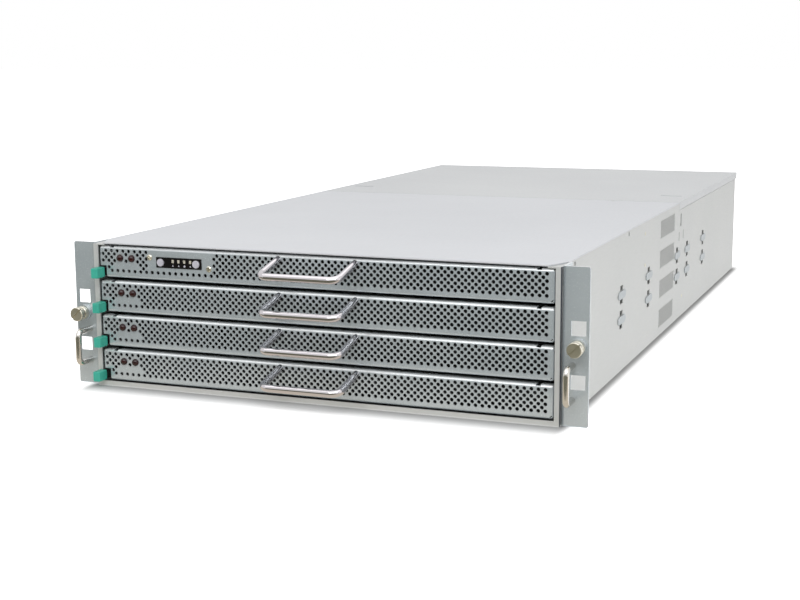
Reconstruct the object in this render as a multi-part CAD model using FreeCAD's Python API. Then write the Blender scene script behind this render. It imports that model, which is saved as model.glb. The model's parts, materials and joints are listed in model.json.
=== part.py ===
import FreeCAD, Part
import os

# Storage server, 3U high, with four pull-out drive drawers. Millimetres.
# X runs across the rack, Y from front to back, Z up. The origin lies on the underside,
# midway across, in the plane of the rack ears' back faces.

# Chassis tub, folded from sheet
CHASSIS_W = 437.0
CHASSIS_H = 132.4
CHASSIS_D = 911.0
SHEET = 1.2
FRONT_Y = -5.5
HEM_W = 4.6
SILL_H = 4.5
TOP_FLANGE_W = 10.0

# Flat front panel, and a rear cover with skirts that lie flush with the side walls
COVER_SHEET = 1.0
SKIRT_H = 8.2
SKIRT_GAP = 0.3
SEAT_GAP = 0.1
SEAM_GAP = 1.0
CORNER_CUT_X = 10.5
CORNER_CUT_Y = 25.5
REAR_OVERHANG = 12.0
REAR_LIP_H = 7.5
DENT_L = 25.0
DENT_W = 6.0
DENT_DEPTH = 0.5
DENT_INSET = 23.5
DENT_FROM_SEAM = 72.0

# Side wall features
VENT_L = 80.0
VENT_Y = 392.5
VENT_ABOVE_DRAWER = 2.7
VENT_TOP_GAP = 5.3
SCREEN_GAP = 0.1
SCREEN_BARS = 5
SCREEN_BAR_W = 1.6
LANCE_YS = (213.0, 337.0, 491.0, 552.0, 657.0)
LANCE_ZS = (50.0, 74.0)
LANCE_L = 30.0
LANCE_H = 7.6
LANCE_RISE = 1.0
LANCE_TAPER = 4.0
LANCE_SLOT_L = 11.0
LANCE_SLOT_H = 5.0
# Hook slots of the front panel, high in the side walls
HOOK_SLOT_YS = (37.0, 240.0)
HOOK_SLOT_W = 3.5
HOOK_SLOT_H = 3.8
HOOK_SLOT_DROP = 4.4
# Upright slots behind the seam: distance from the seam, middle Z, width, height
WALL_SLOTS = (
    (11.0, 112.0, 5.0, 14.0),
    (2.0, 94.0, 2.5, 10.0),
    (27.0, 94.0, 2.5, 10.0),
)

# Rack ears: with the chassis they make the 482.6 of a 19 inch rack, and the screws stand 465.1 apart
EAR_W = 22.8
EAR_T = 2.0
EAR_Z0 = 0.5
EAR_TOP_GAP = 0.4
EAR_LEG = 22.0
EAR_BEND_R = 3.0
EAR_CORNER_R = 1.5
EAR_HOLE_X = 14.05
EAR_WINDOW_W = 12.3
EAR_WINDOW_H = 12.4
EAR_WINDOW_ZS = (37.3, 81.75)
THUMBSCREW_Z = 66.7

# Bow handles on the ears
EAR_HANDLE_D = 5.6
EAR_HANDLE_X = 9.25
EAR_HANDLE_ZS = (22.6, 51.4)
EAR_HANDLE_REACH = 20.0
EAR_HANDLE_BEND = 5.2

# Captive thumbscrews
FERRULE_D = 14.0
FERRULE_L = 3.0
SCREW_SHANK_D = 6.0
SCREW_SHOULDER = 0.5
SCREW_STUD_D = 4.8
SCREW_RUNNING = 0.08
SCREW_END_GAP = 0.4
SCREW_COLLAR_D = 12.2
SCREW_COLLAR_L = 4.5
SCREW_GROOVE_D = 9.6
SCREW_GROOVE_L = 1.6
SCREW_HEAD_D = 13.0
SCREW_HEAD_L = 5.5
SCREW_SLOT_W = 1.4
SCREW_SLOT_DEPTH = 1.6
SCREW_STUD_L = 10.0

# Drawers, numbered from the top
DRAWERS = 4
DRAWER_GAP = 3.4
SILL_GAP = 1.1
FACE_TOP_GAP = 2.0
FACE_SIDE_GAP = 0.6
FACE_Y = -4.5
FACE_SHEET = 1.2
FACE_DEPTH = 9.0
FACE_SIDE_R = 2.6
FACE_TOP_R = 1.9
RELIEF_INSET = 13.3
RELIEF_W = 4.0
RELIEF_H = 1.3

# Perforation of the drawer fronts, drawn coarse: each hole stands for a cluster of the fine punching
PUNCH_FIELD_H = 21.3
PUNCH_MARGIN = 3.0
PUNCH_FIELD_Z = 4.0
PUNCH_ROWS = 3
PUNCH_PITCH = 18.2
PUNCH_W = 9.0
PUNCH_H = 8.0

# Hard drives in the trays, 101.4 wide and 26.1 high in the room that the trays leave
DRIVE_L = 147.0
DRIVE_TOP_GAP = 0.7
DRIVE_LID_INSET = 1.2
DRIVE_LID_H = 3.6
DRIVES_ACROSS = 4
DRIVE_ROWS = 3
DRIVE_GAP = 0.4
ROW_GAP = 7.0
ROW_FRONT_GAP = 6.5

# Drawer trays
TRAY_SHEET = 1.0
TRAY_RISE = 0.6
TRAY_TOP_GAP = 0.9
TRAY_REAR_GAP = 1.0
TRAY_WINDOW_W = 88.0
TRAY_WINDOW_H = 18.0

# Row backplanes and the midplane
BOARD_T = 1.6
BACKPLANE_H = 22.0
PLUG_W = 40.0
PLUG_H = 8.0
MATE_GAP = 0.3
MAIN_PLUG_W = 70.0
MAIN_PLUG_H = 14.0
MIDPLANE_GAP = 8.0
MIDPLANE_MARGIN = 12.0
MIDPLANE_VENT_H = 12.0
MIDPLANE_EDGE = 8.3
SPACER_L = 8.4
SPACER_D = 8.0
SPACER_INSET = 8.0

# Telescopic slides: outer, middle and inner member each side of each tray
SLIDE_L = 380.0
SLIDE_Y = 8.0
SLIDE_SPACE = 9.3
SLIDE_MARGIN = 3.7
SLIDE_WALL = 1.1
SLIDE_GAP = 0.35
SLIDE_HEM_GAP = 0.4
SLIDE_PAD_MARGIN = 4.5

# Bow handles of the drawers
HANDLE_D = 6.5
HANDLE_X = 3.0
HANDLE_SPACING = 72.0
HANDLE_REACH = 38.0
HANDLE_BASE_Z = 24.0
HANDLE_BAR_Z = 15.0
HANDLE_BEND = 8.0

# Fault lights of the drawers
LED_INSETS = (21.9, 33.9)
LED_Z = 18.0
LED_D = 6.6
LED_FIT = 0.05
LED_REACH = 3.2
LED_DOME = 1.8
LED_TIP_D = 4.0
LED_BACK = 5.5

# Slide bolts of the drawers
NOTCH_W = 7.5
NOTCH_H = 10.6
TAB_W = 7.0
TAB_L = 12.0
TAB_H = 9.2
TAB_EDGE = 0.7
TAB_HEM_GAP = 0.4
TAB_OVERHANG = 1.2
BOLT_T = 1.5
BOLT_H = 6.5
BOLT_L = 32.4
BOLT_GAP = 0.3
BOLT_NECK_W = 1.5
BOLT_NOSE_L = 4.4
BOLT_NOSE_INSET = 3.5
KEEPER_INSETS = (13.8, 25.8)
KEEPER_W = 5.0
KEEPER_LIP = 3.0
BOTTOM_BOLT_SHIFT = -2.2

# Control panel in the top drawer
PANEL_INSET = 82.5
PANEL_Z = 16.0
PANEL_W = 45.6
PANEL_H = 9.3
PANEL_FIT = 0.1
PANEL_PROUD = 0.6
PANEL_BOARD_GAP = 1.5
PANEL_BOARD_W = 70.0
PANEL_BOARD_H = 15.0
PANEL_SCREWS = ((-29.8, 3.9), (30.0, -3.7))
PANEL_BOSS_D = 6.0
BUTTON_OFFSETS = (-18.3, 17.6)
BUTTON_D = 6.8
BUTTON_FIT = 0.15
BUTTON_PROUD = 1.5
BUTTON_TRAVEL = 1.2
BUTTON_FLOOR = 0.1
BUTTON_EDGE = 0.6
STATUS_OFFSETS = (-5.8, 0.0, 5.8, 11.8)
STATUS_RISE = 1.6
STATUS_W = 2.2
STATUS_H = 2.8
STATUS_PROUD = 0.2

# Fan wall and fans
FAN_MARGIN = 4.45
FAN_DEPTH = 38.0
FAN_RIM = 3.0
FAN_PITCH = 130.0
FAN_COUNT = 3
FAN_HUB_D = 44.0
FAN_STATOR_L = 5.0
FAN_STRUT_W = 6.0
FAN_STRUTS = 4
FAN_SHAFT_D = 4.0
FAN_SHAFT_L = 20.0
FAN_RUNNING = 0.05
FAN_TIP_GAP = 1.5
FAN_END_GAP = 3.0
BLADES = 7
BLADE_T = 1.8
BLADE_CHORD = 30.0
BLADE_PITCH = 38.0
FAN_WALL_FLANGE = 12.0

# Motherboard and what stands on it
MAIN_SIDE_GAP = 17.3
MAIN_CAGE_GAP = 15.0
MAIN_FAN_GAP = 43.6
MAIN_REAR_GAP = 3.0
STANDOFF_H = 6.0
STANDOFF_D = 7.0
STANDOFF_INSET = 12.0
SINK_W = 80.0
SINK_H = 62.0
SINK_BASE = 8.0
SINK_FINS = 14
SINK_FIN_T = 1.2
SINK_INSET = 115.0
SINK_FROM_FRONT = (60.0, 170.0)
MEMORY_L = 133.0
MEMORY_H = 34.0
MEMORY_T = 4.0
MEMORY_PITCH = 9.5
MEMORY_COUNT = 4
MEMORY_SIDE_GAP = 10.0

# Expansion slots
SLOTS = 7
SLOT_PITCH = 20.32
SLOT_INSET = 27.3
SLOT_W = 12.5
SLOT_TOP_GAP = 13.4
SLOT_Z = 18.0
BRACKET_W = 18.4
BRACKET_T = 0.9
BRACKET_LAP = 4.0
CARD_SLOT_NUMBER = 2
CARD_L = 168.0
CARD_TOP_GAP = 21.6
CARD_T = 1.6
CARD_CHIP = 24.0
CARD_CHIP_T = 9.0
SOCKET_L = 89.0
SOCKET_W = 7.5
SOCKET_H = 11.0
SOCKET_FROM_REAR = 60.0

# Rear connectors on the motherboard: distance from the power supply cage, width, height
CONNECTORS = (
    (150.0, 31.0, 12.5),
    (116.0, 16.0, 29.0),
    (92.0, 16.0, 13.5),
    (72.0, 16.0, 13.5),
    (44.0, 31.0, 12.5),
)
CONNECTOR_L = 22.0
CONNECTOR_FIT = 0.4
CONNECTOR_RIM = 1.6
CONNECTOR_RECESS = 3.0

# Exhaust slots in the rear panel
EXHAUST_W = 4.0
EXHAUST_TOP_GAP = 21.4
EXHAUST_PITCH = 8.0
EXHAUST_COUNT = 17
EXHAUST_INSET = 160.0
EXHAUST_Z = 62.0

# Power supplies and their cage
PSU_W = 86.0
PSU_L = 250.0
PSU_SIDE_GAP = 9.9
PSU_CLEAR = 0.4
CAGE_HEADROOM = 17.6
CAGE_SHEET = 1.0
CAGE_BOARD_GAP = 4.0
INLET_W = 24.0
INLET_H = 16.0
INLET_DEPTH = 15.0
INLET_INSET = 16.0
GRILLE_D = 40.0
GRILLE_BARS = 5
GRILLE_BAR_W = 2.5
GRILLE_DEPTH = 3.0
GRILLE_INSET = 27.0
PULL_W = 30.0
PULL_REACH = 22.0
PULL_T = 3.0
PULL_H = 12.0
PULL_BEND = 5.0

# Worked out from the sizes above: chassis and covers
HALF_W = CHASSIS_W / 2
WALL_IN = HALF_W - SHEET
UPPER_OUT = HALF_W - COVER_SHEET - SKIRT_GAP
UPPER_IN = UPPER_OUT - SHEET
COVER_UNDER = CHASSIS_H - COVER_SHEET
TUB_TOP = COVER_UNDER - SEAT_GAP
JOGGLE_Z = CHASSIS_H - SKIRT_H - SKIRT_GAP
HEM_IN = HALF_W - HEM_W
EAR_H = CHASSIS_H - EAR_TOP_GAP - EAR_Z0
SCREW_X = HALF_W + EAR_HOLE_X

# Drawers
DRAWER_Z = SILL_H + SILL_GAP
DRAWER_PITCH = (COVER_UNDER - FACE_TOP_GAP + DRAWER_GAP - DRAWER_Z) / DRAWERS
FACE_W = 2 * (HEM_IN - FACE_SIDE_GAP)
FACE_H = DRAWER_PITCH - DRAWER_GAP
FACE_LEFT = -FACE_W / 2
FACE_BACK = FACE_Y + FACE_SHEET
VENT_H = FACE_H - VENT_ABOVE_DRAWER - VENT_TOP_GAP
PUNCH_FIELD_W = FACE_W - 2 * PUNCH_MARGIN
RELIEF_X = FACE_W / 2 - RELIEF_INSET
LED_XS = [FACE_LEFT + inset for inset in LED_INSETS]
KEEPER_XS = [FACE_LEFT + inset for inset in KEEPER_INSETS]
PANEL_X = FACE_LEFT + PANEL_INSET
BUTTON_XS = [PANEL_X + offset for offset in BUTTON_OFFSETS]
STATUS_XS = [PANEL_X + offset for offset in STATUS_OFFSETS]
STATUS_Z = PANEL_Z + STATUS_RISE
TRAY_OUT = HEM_IN - SLIDE_SPACE
TRAY_IN = TRAY_OUT - TRAY_SHEET
TRAY_Y = FACE_Y + FACE_DEPTH
TRAY_WALL_H = FACE_H - TRAY_RISE - TRAY_TOP_GAP
DRIVE_W = 2 * TRAY_IN / DRIVES_ACROSS - DRIVE_GAP
DRIVE_H = FACE_H - TRAY_RISE - TRAY_SHEET - DRIVE_TOP_GAP
ROW_Y = TRAY_Y + TRAY_SHEET + ROW_FRONT_GAP
ROW_PITCH = DRIVE_L + ROW_GAP
TRAY_REAR = ROW_Y + DRIVE_ROWS * ROW_PITCH + TRAY_REAR_GAP + TRAY_SHEET
SLIDE_Z = FACE_H / 2
SLIDE_H = FACE_H - 2 * SLIDE_MARGIN
SLIDE_PAD_H = SLIDE_H - 2 * SLIDE_PAD_MARGIN
MAIN_PLUG_Z = FACE_H / 2

# Midplane and fans
MIDPLANE_Y = TRAY_REAR + MIDPLANE_GAP
FAN_WALL_Y = MIDPLANE_Y + BOARD_T + SPACER_L
FAN_Y = FAN_WALL_Y + SHEET
FAN_Z = SHEET + (TUB_TOP - 2 * SHEET) / 2
FAN_SIZE = TUB_TOP - 2 * SHEET - 2 * FAN_MARGIN
FAN_BORE_D = FAN_SIZE - 2 * FAN_RIM
SEAM_Y = FAN_WALL_Y + FAN_WALL_FLANGE / 3

# Power supplies and motherboard
REAR_IN = CHASSIS_D - SHEET
PSU_X = WALL_IN - PSU_SIDE_GAP - PSU_W
CAGE_X = PSU_X - PSU_CLEAR - CAGE_SHEET
CAGE_X1 = PSU_X + PSU_W + PSU_CLEAR + CAGE_SHEET
CAGE_TOP = COVER_UNDER - CAGE_HEADROOM
PSU_H = (CAGE_TOP - SHEET - 3 * CAGE_SHEET - 4 * PSU_CLEAR) / 2
PSU_ZS = [SHEET + CAGE_SHEET + PSU_CLEAR + i * (PSU_H + 2 * PSU_CLEAR + CAGE_SHEET) for i in (0, 1)]
PSU_FRONT = CHASSIS_D - PSU_L
MAIN_X = MAIN_SIDE_GAP - WALL_IN
MAIN_W = CAGE_X - MAIN_CAGE_GAP - MAIN_X
MAIN_FRONT = FAN_Y + FAN_DEPTH + MAIN_FAN_GAP
MAIN_REAR = REAR_IN - MAIN_REAR_GAP
MAIN_L = MAIN_REAR - MAIN_FRONT
MAIN_Z = SHEET + STANDOFF_H
MAIN_TOP = MAIN_Z + BOARD_T
SINK_X = MAIN_X + MAIN_W - SINK_INSET
SLOT_X = SLOT_INSET - WALL_IN
SLOT_H = COVER_UNDER - SLOT_TOP_GAP - SLOT_Z
CARD_H = COVER_UNDER - CARD_TOP_GAP - MAIN_TOP - SOCKET_H
EXHAUST_X = CAGE_X - EXHAUST_INSET
EXHAUST_H = COVER_UNDER - EXHAUST_TOP_GAP - EXHAUST_Z
X = FreeCAD.Vector(1, 0, 0)
Y = FreeCAD.Vector(0, 1, 0)
Z = FreeCAD.Vector(0, 0, 1)


def point(x, y, z):
    return FreeCAD.Vector(x, y, z)


def box(x0, x1, y0, y1, z0, z1):
    return Part.makeBox(x1 - x0, y1 - y0, z1 - z0, point(x0, y0, z0))


def rod(diameter, x, z, y0, y1):
    return Part.makeCylinder(diameter / 2, y1 - y0, point(x, y0, z), Y)


def prism(corners, sweep):
    loop = [point(*c) for c in corners]
    return Part.Face(Part.makePolygon(loop + loop[:1])).extrude(sweep)


def fused(shapes):
    return shapes[0].multiFuse(shapes[1:]).removeSplitter()


def mirrored(shape):
    return shape.mirror(point(0, 0, 0), X)


def both_sides(shape):
    return [shape, mirrored(shape)]


def rounded(shape, radius, chosen):
    return shape.makeFillet(radius, [e for e in shape.Edges if chosen(e)])


def runs_along(edge, axis):
    ends = [v.Point for v in edge.Vertexes]
    return len(ends) == 2 and abs((ends[1] - ends[0]).normalize().dot(axis)) > 0.999


def bow(corners, bend, diameter):
    # Round bar along straight runs, with a quarter bend at each inner corner
    pieces = []
    start = corners[0]
    for here, after in zip(corners[1:-1], corners[2:]):
        run = (here - start).normalize()
        turn = (after - here).normalize()
        bend_start = here - run * bend
        pieces.append(Part.makeCylinder(diameter / 2, (bend_start - start).Length, start, run))
        section = Part.Face(Part.Wire(Part.makeCircle(diameter / 2, bend_start, run)))
        pieces.append(section.revolve(bend_start + turn * bend, run.cross(turn), 90))
        start = here + turn * bend
    pieces.append(Part.makeCylinder(diameter / 2, (corners[-1] - start).Length, start, corners[-1] - start))
    return fused(pieces)


def drawer_z(number):
    return DRAWER_Z + (DRAWERS - number) * DRAWER_PITCH


def section_xz(half):
    # Mirrors an open right-hand outline of (x, z) corners into a closed one
    return [(x, 0, z) for x, z in half] + [(-x, 0, z) for x, z in reversed(half)]


def tub():
    # Straight walls under the front panel, joggled inwards behind the seam to clear the cover's skirts
    flange = [(UPPER_OUT - TOP_FLANGE_W, TUB_TOP), (UPPER_OUT - TOP_FLANGE_W, TUB_TOP - SHEET)]
    half = [(HALF_W, 0), (HALF_W, TUB_TOP)] + flange + [(WALL_IN, TUB_TOP - SHEET), (WALL_IN, SHEET)]
    front = prism(section_xz(half), Y * (SEAM_Y - FRONT_Y))
    front.translate(Y * FRONT_Y)
    half = [(HALF_W, 0), (HALF_W, JOGGLE_Z), (UPPER_OUT, JOGGLE_Z), (UPPER_OUT, TUB_TOP)] + flange
    half += [(UPPER_IN, TUB_TOP - SHEET), (UPPER_IN, JOGGLE_Z - SHEET)]
    half += [(WALL_IN, JOGGLE_Z - SHEET), (WALL_IN, SHEET)]
    rear = prism(section_xz(half), Y * (CHASSIS_D - SEAM_Y))
    rear.translate(Y * SEAM_Y)
    hem_back = FRONT_Y + SHEET
    hem = box(HEM_IN, HALF_W, FRONT_Y, hem_back, 0, TUB_TOP)
    sill = box(-HEM_IN, HEM_IN, FRONT_Y, hem_back, 0, SILL_H)
    xs = (MAIN_X + STANDOFF_INSET, MAIN_X + MAIN_W / 2, MAIN_X + MAIN_W - STANDOFF_INSET)
    ys = (MAIN_FRONT + STANDOFF_INSET, MAIN_FRONT + MAIN_L / 2, MAIN_REAR - STANDOFF_INSET)
    posts = [Part.makeCylinder(STANDOFF_D / 2, STANDOFF_H, point(x, y, SHEET)) for x in xs for y in ys]
    straps = [strap for y in LANCE_YS for z in LANCE_ZS for strap in both_sides(lance_strap(y, z))]
    shell = fused([front, rear, sill] + both_sides(hem) + posts + straps)
    cuts = []
    for number in range(1, DRAWERS + 1):
        low, high = vent_z(number), vent_z(number) + VENT_H
        cuts += both_sides(box(UPPER_IN, HALF_W + 1, VENT_Y, VENT_Y + VENT_L, low, high))
    for y in LANCE_YS:
        for z in LANCE_ZS:
            cuts += [slot for side in lance_slots(y, z) for slot in both_sides(side)]
    hook_z = CHASSIS_H - HOOK_SLOT_DROP
    slots = [(y, hook_z, HOOK_SLOT_W, HOOK_SLOT_H) for y in HOOK_SLOT_YS]
    slots += [(SEAM_Y + from_seam, z, width, height) for from_seam, z, width, height in WALL_SLOTS]
    for y, z, width, height in slots:
        slot = box(UPPER_IN, HALF_W + 1, y - width / 2, y + width / 2, z - height / 2, z + height / 2)
        cuts += both_sides(slot)
    return shell.cut(cuts)


def vent_z(number):
    return drawer_z(number) + VENT_ABOVE_DRAWER


def lance_strap(y, z):
    # Raised strap, pressed outwards from the wall, with tapered ends
    half = LANCE_L / 2
    high = z + LANCE_H / 2
    low = z - LANCE_H / 2
    flat = half - LANCE_TAPER
    tip = LANCE_H / 2 - LANCE_TAPER / 2
    outline = [(y - flat, low), (y + flat, low), (y + half, z - tip), (y + half, z + tip)]
    outline += [(y + flat, high), (y - flat, high), (y - half, z + tip), (y - half, z - tip)]
    return prism([(HALF_W, along, up) for along, up in outline], X * LANCE_RISE)


def lance_slots(y, z):
    ends = (y - LANCE_SLOT_L / 2, y + LANCE_SLOT_L / 2)
    above = z + LANCE_H / 2
    below = z - LANCE_H / 2
    return [
        box(UPPER_IN, HALF_W + LANCE_RISE + 1, *ends, above, above + LANCE_SLOT_H),
        box(UPPER_IN, HALF_W + LANCE_RISE + 1, *ends, below - LANCE_SLOT_H, below),
    ]


def vent_screens():
    # Punched screen in each vent, drawn as upright bars
    screens = []
    pitch = VENT_L / (SCREEN_BARS + 1)
    for number in range(1, DRAWERS + 1):
        low = vent_z(number) + SCREEN_GAP
        high = vent_z(number) + VENT_H - SCREEN_GAP
        plate = box(WALL_IN, HALF_W, VENT_Y + SCREEN_GAP, VENT_Y + VENT_L - SCREEN_GAP, low, high)
        slots = []
        for i in range(SCREEN_BARS + 1):
            y0 = VENT_Y + i * pitch + SCREEN_BAR_W
            y1 = VENT_Y + (i + 1) * pitch - SCREEN_BAR_W
            slots.append(box(WALL_IN - 1, HALF_W + 1, y0, y1, low + SCREEN_BAR_W, high - SCREEN_BAR_W))
        screens += both_sides(plate.cut(slots))
    return Part.makeCompound(screens)


def front_top_panel():
    y1 = SEAM_Y - SEAM_GAP / 2
    plan = [(HALF_W, y1), (HALF_W, FRONT_Y + CORNER_CUT_Y), (HALF_W - CORNER_CUT_X, FRONT_Y)]
    outline = [(x, y, COVER_UNDER) for x, y in plan] + [(-x, y, COVER_UNDER) for x, y in reversed(plan)]
    return prism(outline, Z * COVER_SHEET)


def rear_top_cover():
    y0 = SEAM_Y + SEAM_GAP / 2
    y1 = CHASSIS_D + REAR_OVERHANG
    plate = box(-HALF_W, HALF_W, y0, y1, COVER_UNDER, CHASSIS_H)
    lip = box(-HALF_W, HALF_W, y1 - COVER_SHEET, y1, CHASSIS_H - REAR_LIP_H, CHASSIS_H)
    x0 = HALF_W - DENT_INSET - DENT_L / 2
    dent_y = SEAM_Y + DENT_FROM_SEAM - DENT_W / 2
    dent = box(x0, x0 + DENT_L, dent_y, dent_y + DENT_W, CHASSIS_H - DENT_DEPTH, CHASSIS_H + 1)
    skirt = box(HALF_W - COVER_SHEET, HALF_W, y0, y1, CHASSIS_H - SKIRT_H, CHASSIS_H)
    return fused([plate, lip] + both_sides(skirt)).cut(both_sides(dent))


def rear_panel():
    half = [(WALL_IN - SEAT_GAP, SHEET), (WALL_IN - SEAT_GAP, JOGGLE_Z - SHEET - SEAT_GAP)]
    half += [(UPPER_IN - SEAT_GAP, JOGGLE_Z - SHEET - SEAT_GAP), (UPPER_IN - SEAT_GAP, TUB_TOP - SHEET)]
    plate = prism(section_xz(half), Y * SHEET)
    plate.translate(Y * REAR_IN)
    y0, y1 = REAR_IN - 1, CHASSIS_D + 1
    t = CAGE_SHEET
    cuts = [box(CAGE_X + t, CAGE_X1 - t, y0, y1, SHEET + t, CAGE_TOP - t)]
    for i in range(SLOTS):
        x = slot_x(i)
        cuts.append(box(x - SLOT_W / 2, x + SLOT_W / 2, y0, y1, SLOT_Z, SLOT_Z + SLOT_H))
    for from_cage, width, height in CONNECTORS:
        x = CAGE_X - from_cage
        half_w = width / 2 + CONNECTOR_FIT
        low, high = MAIN_TOP - CONNECTOR_FIT, MAIN_TOP + height + CONNECTOR_FIT
        cuts.append(box(x - half_w, x + half_w, y0, y1, low, high))
    for i in range(EXHAUST_COUNT):
        x = EXHAUST_X + i * EXHAUST_PITCH
        cuts.append(box(x, x + EXHAUST_W, y0, y1, EXHAUST_Z, EXHAUST_Z + EXHAUST_H))
    return plate.cut(cuts)


def slot_x(index):
    return SLOT_X + index * SLOT_PITCH


def rack_ears():
    outer = HALF_W + EAR_W
    angle = [
        (HALF_W, EAR_LEG, EAR_Z0),
        (HALF_W, -EAR_T, EAR_Z0),
        (outer, -EAR_T, EAR_Z0),
        (outer, 0, EAR_Z0),
        (HALF_W + EAR_T, 0, EAR_Z0),
        (HALF_W + EAR_T, EAR_LEG, EAR_Z0),
    ]
    ear = prism(angle, Z * EAR_H)
    ear = rounded(ear, EAR_BEND_R, lambda e: at_corner(e, Z, HALF_W, -EAR_T))
    ear = rounded(ear, EAR_CORNER_R, lambda e: runs_along(e, Y) and e.BoundBox.XMin > outer - SEAT_GAP)
    ear = fused([ear, rod(FERRULE_D, SCREW_X, THUMBSCREW_Z, -EAR_T - FERRULE_L, -EAR_T)])
    cuts = [rod(SCREW_SHANK_D + 2 * SCREW_RUNNING, SCREW_X, THUMBSCREW_Z, -EAR_T - FERRULE_L - 1, 1)]
    for z in EAR_WINDOW_ZS:
        half_w, half_h = EAR_WINDOW_W / 2, EAR_WINDOW_H / 2
        cuts.append(box(SCREW_X - half_w, SCREW_X + half_w, -EAR_T - 1, 1, z - half_h, z + half_h))
    return both_sides(ear.cut(cuts))


def at_corner(edge, axis, x, y):
    place = edge.BoundBox.Center
    return runs_along(edge, axis) and abs(place.x - x) < SEAT_GAP and abs(place.y - y) < SEAT_GAP


def ear_handles():
    x = HALF_W + EAR_HANDLE_X
    front = -EAR_T - EAR_HANDLE_REACH
    low, high = EAR_HANDLE_ZS
    path = [point(x, -EAR_T, low), point(x, front, low), point(x, front, high), point(x, -EAR_T, high)]
    return both_sides(bow(path, EAR_HANDLE_BEND, EAR_HANDLE_D))


def thumbscrew():
    collar_back = -EAR_T - FERRULE_L - SCREW_END_GAP
    groove_back = collar_back - SCREW_COLLAR_L
    head_back = groove_back - SCREW_GROOVE_L
    head_front = head_back - SCREW_HEAD_L
    screw = fused([
        rod(SCREW_SHANK_D, SCREW_X, THUMBSCREW_Z, collar_back, SCREW_SHOULDER),
        rod(SCREW_STUD_D, SCREW_X, THUMBSCREW_Z, SCREW_SHOULDER, SCREW_STUD_L),
        rod(SCREW_COLLAR_D, SCREW_X, THUMBSCREW_Z, groove_back, collar_back),
        rod(SCREW_GROOVE_D, SCREW_X, THUMBSCREW_Z, head_back, groove_back),
        rod(SCREW_HEAD_D, SCREW_X, THUMBSCREW_Z, head_front, head_back),
    ])
    across = SCREW_HEAD_D / 2 + 1
    slot = box(
        SCREW_X - across,
        SCREW_X + across,
        head_front - 1,
        head_front + SCREW_SLOT_DEPTH,
        THUMBSCREW_Z - SCREW_SLOT_W / 2,
        THUMBSCREW_Z + SCREW_SLOT_W / 2,
    )
    return screw.cut(slot)


def punch_holes(z0, top_drawer):
    # Staggered rows of diamond holes that keep clear of lights, bolt, handle feet and control panel
    low = z0 + PUNCH_FIELD_Z + PUNCH_H / 2
    step = (PUNCH_FIELD_H - PUNCH_H) / (PUNCH_ROWS - 1)
    columns = int(PUNCH_FIELD_W // PUNCH_PITCH)
    holes = []
    for row in range(PUNCH_ROWS):
        count = columns - row % 2
        z = low + row * step
        for i in range(count):
            x = (i - (count - 1) / 2) * PUNCH_PITCH
            if punch_allowed(x, row, top_drawer):
                half_w, half_h = PUNCH_W / 2, PUNCH_H / 2
                corners = [(x - half_w, z), (x, z - half_h), (x + half_w, z), (x, z + half_h)]
                holes.append(prism([(cx, FACE_Y - 1, cz) for cx, cz in corners], Y * (FACE_SHEET + 2)))
    return holes


def punch_allowed(x, row, top_drawer):
    near = PUNCH_W / 2
    lights = min(LED_XS) - LED_D - near < x < max(LED_XS) + LED_D + near
    bolt = row == 0 and x < -FACE_W / 2 + NOTCH_W + near + 1
    handle = row == PUNCH_ROWS - 1 and abs(abs(x - HANDLE_X) - HANDLE_SPACING / 2) < HANDLE_D / 2 + near
    panel = top_drawer and abs(x - PANEL_X) < PANEL_BOARD_W / 2 + near
    return not (lights or bolt or handle or panel)


def on_face(edge):
    return edge.BoundBox.YMax < FACE_Y + SEAT_GAP


def below(edge, z):
    return edge.BoundBox.ZMax < z


def drawer_front(number):
    z0 = drawer_z(number)
    z1 = z0 + FACE_H
    half = FACE_W / 2
    pan = box(-half, half, FACE_Y, TRAY_Y, z0, z1)
    pan = rounded(pan, FACE_SIDE_R, lambda e: on_face(e) and (runs_along(e, Z) or below(e, z0 + SEAT_GAP)))
    pan = rounded(pan, FACE_TOP_R, lambda e: on_face(e) and runs_along(e, X) and not below(e, z1 - SEAT_GAP))
    t = FACE_SHEET
    cuts = [box(-half + t, half - t, FACE_BACK, TRAY_Y + 1, z0 + t, z1 - t)]
    cuts.append(box(-half - 1, -half + NOTCH_W, FACE_Y - 1, TRAY_Y + 1, z0 - 1, z0 + NOTCH_H))
    relief_x = RELIEF_X - RELIEF_W / 2
    relief = box(relief_x, relief_x + RELIEF_W, FACE_Y - 1, TRAY_Y + 1, z1 - RELIEF_H, z1 + 1)
    cuts += both_sides(relief)
    cuts += [rod(LED_D + 2 * LED_FIT, x, z0 + LED_Z, FACE_Y - 1, FACE_BACK + 1) for x in LED_XS]
    top_drawer = number == 1
    cuts += punch_holes(z0, top_drawer)
    if top_drawer:
        cuts.append(panel_block(z0, PANEL_FIT, FACE_Y - 1, FACE_BACK + 1))
    return fused([pan.cut(cuts)] + [keeper(x, z0) for x in KEEPER_XS])


def keeper(x, z0):
    # Hook behind the face that traps the slide bolt
    above = z0 + FACE_SHEET + BOLT_H + 2 * BOLT_GAP
    bolt_back = FACE_BACK + BOLT_GAP + BOLT_T
    x0, x1 = x - KEEPER_W / 2, x + KEEPER_W / 2
    lip_back = bolt_back + BOLT_GAP + FACE_SHEET
    arm = box(x0, x1, FACE_BACK, lip_back, above, above + FACE_SHEET)
    lip = box(x0, x1, bolt_back + BOLT_GAP, lip_back, above - KEEPER_LIP, above)
    return fused([arm, lip])


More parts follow.
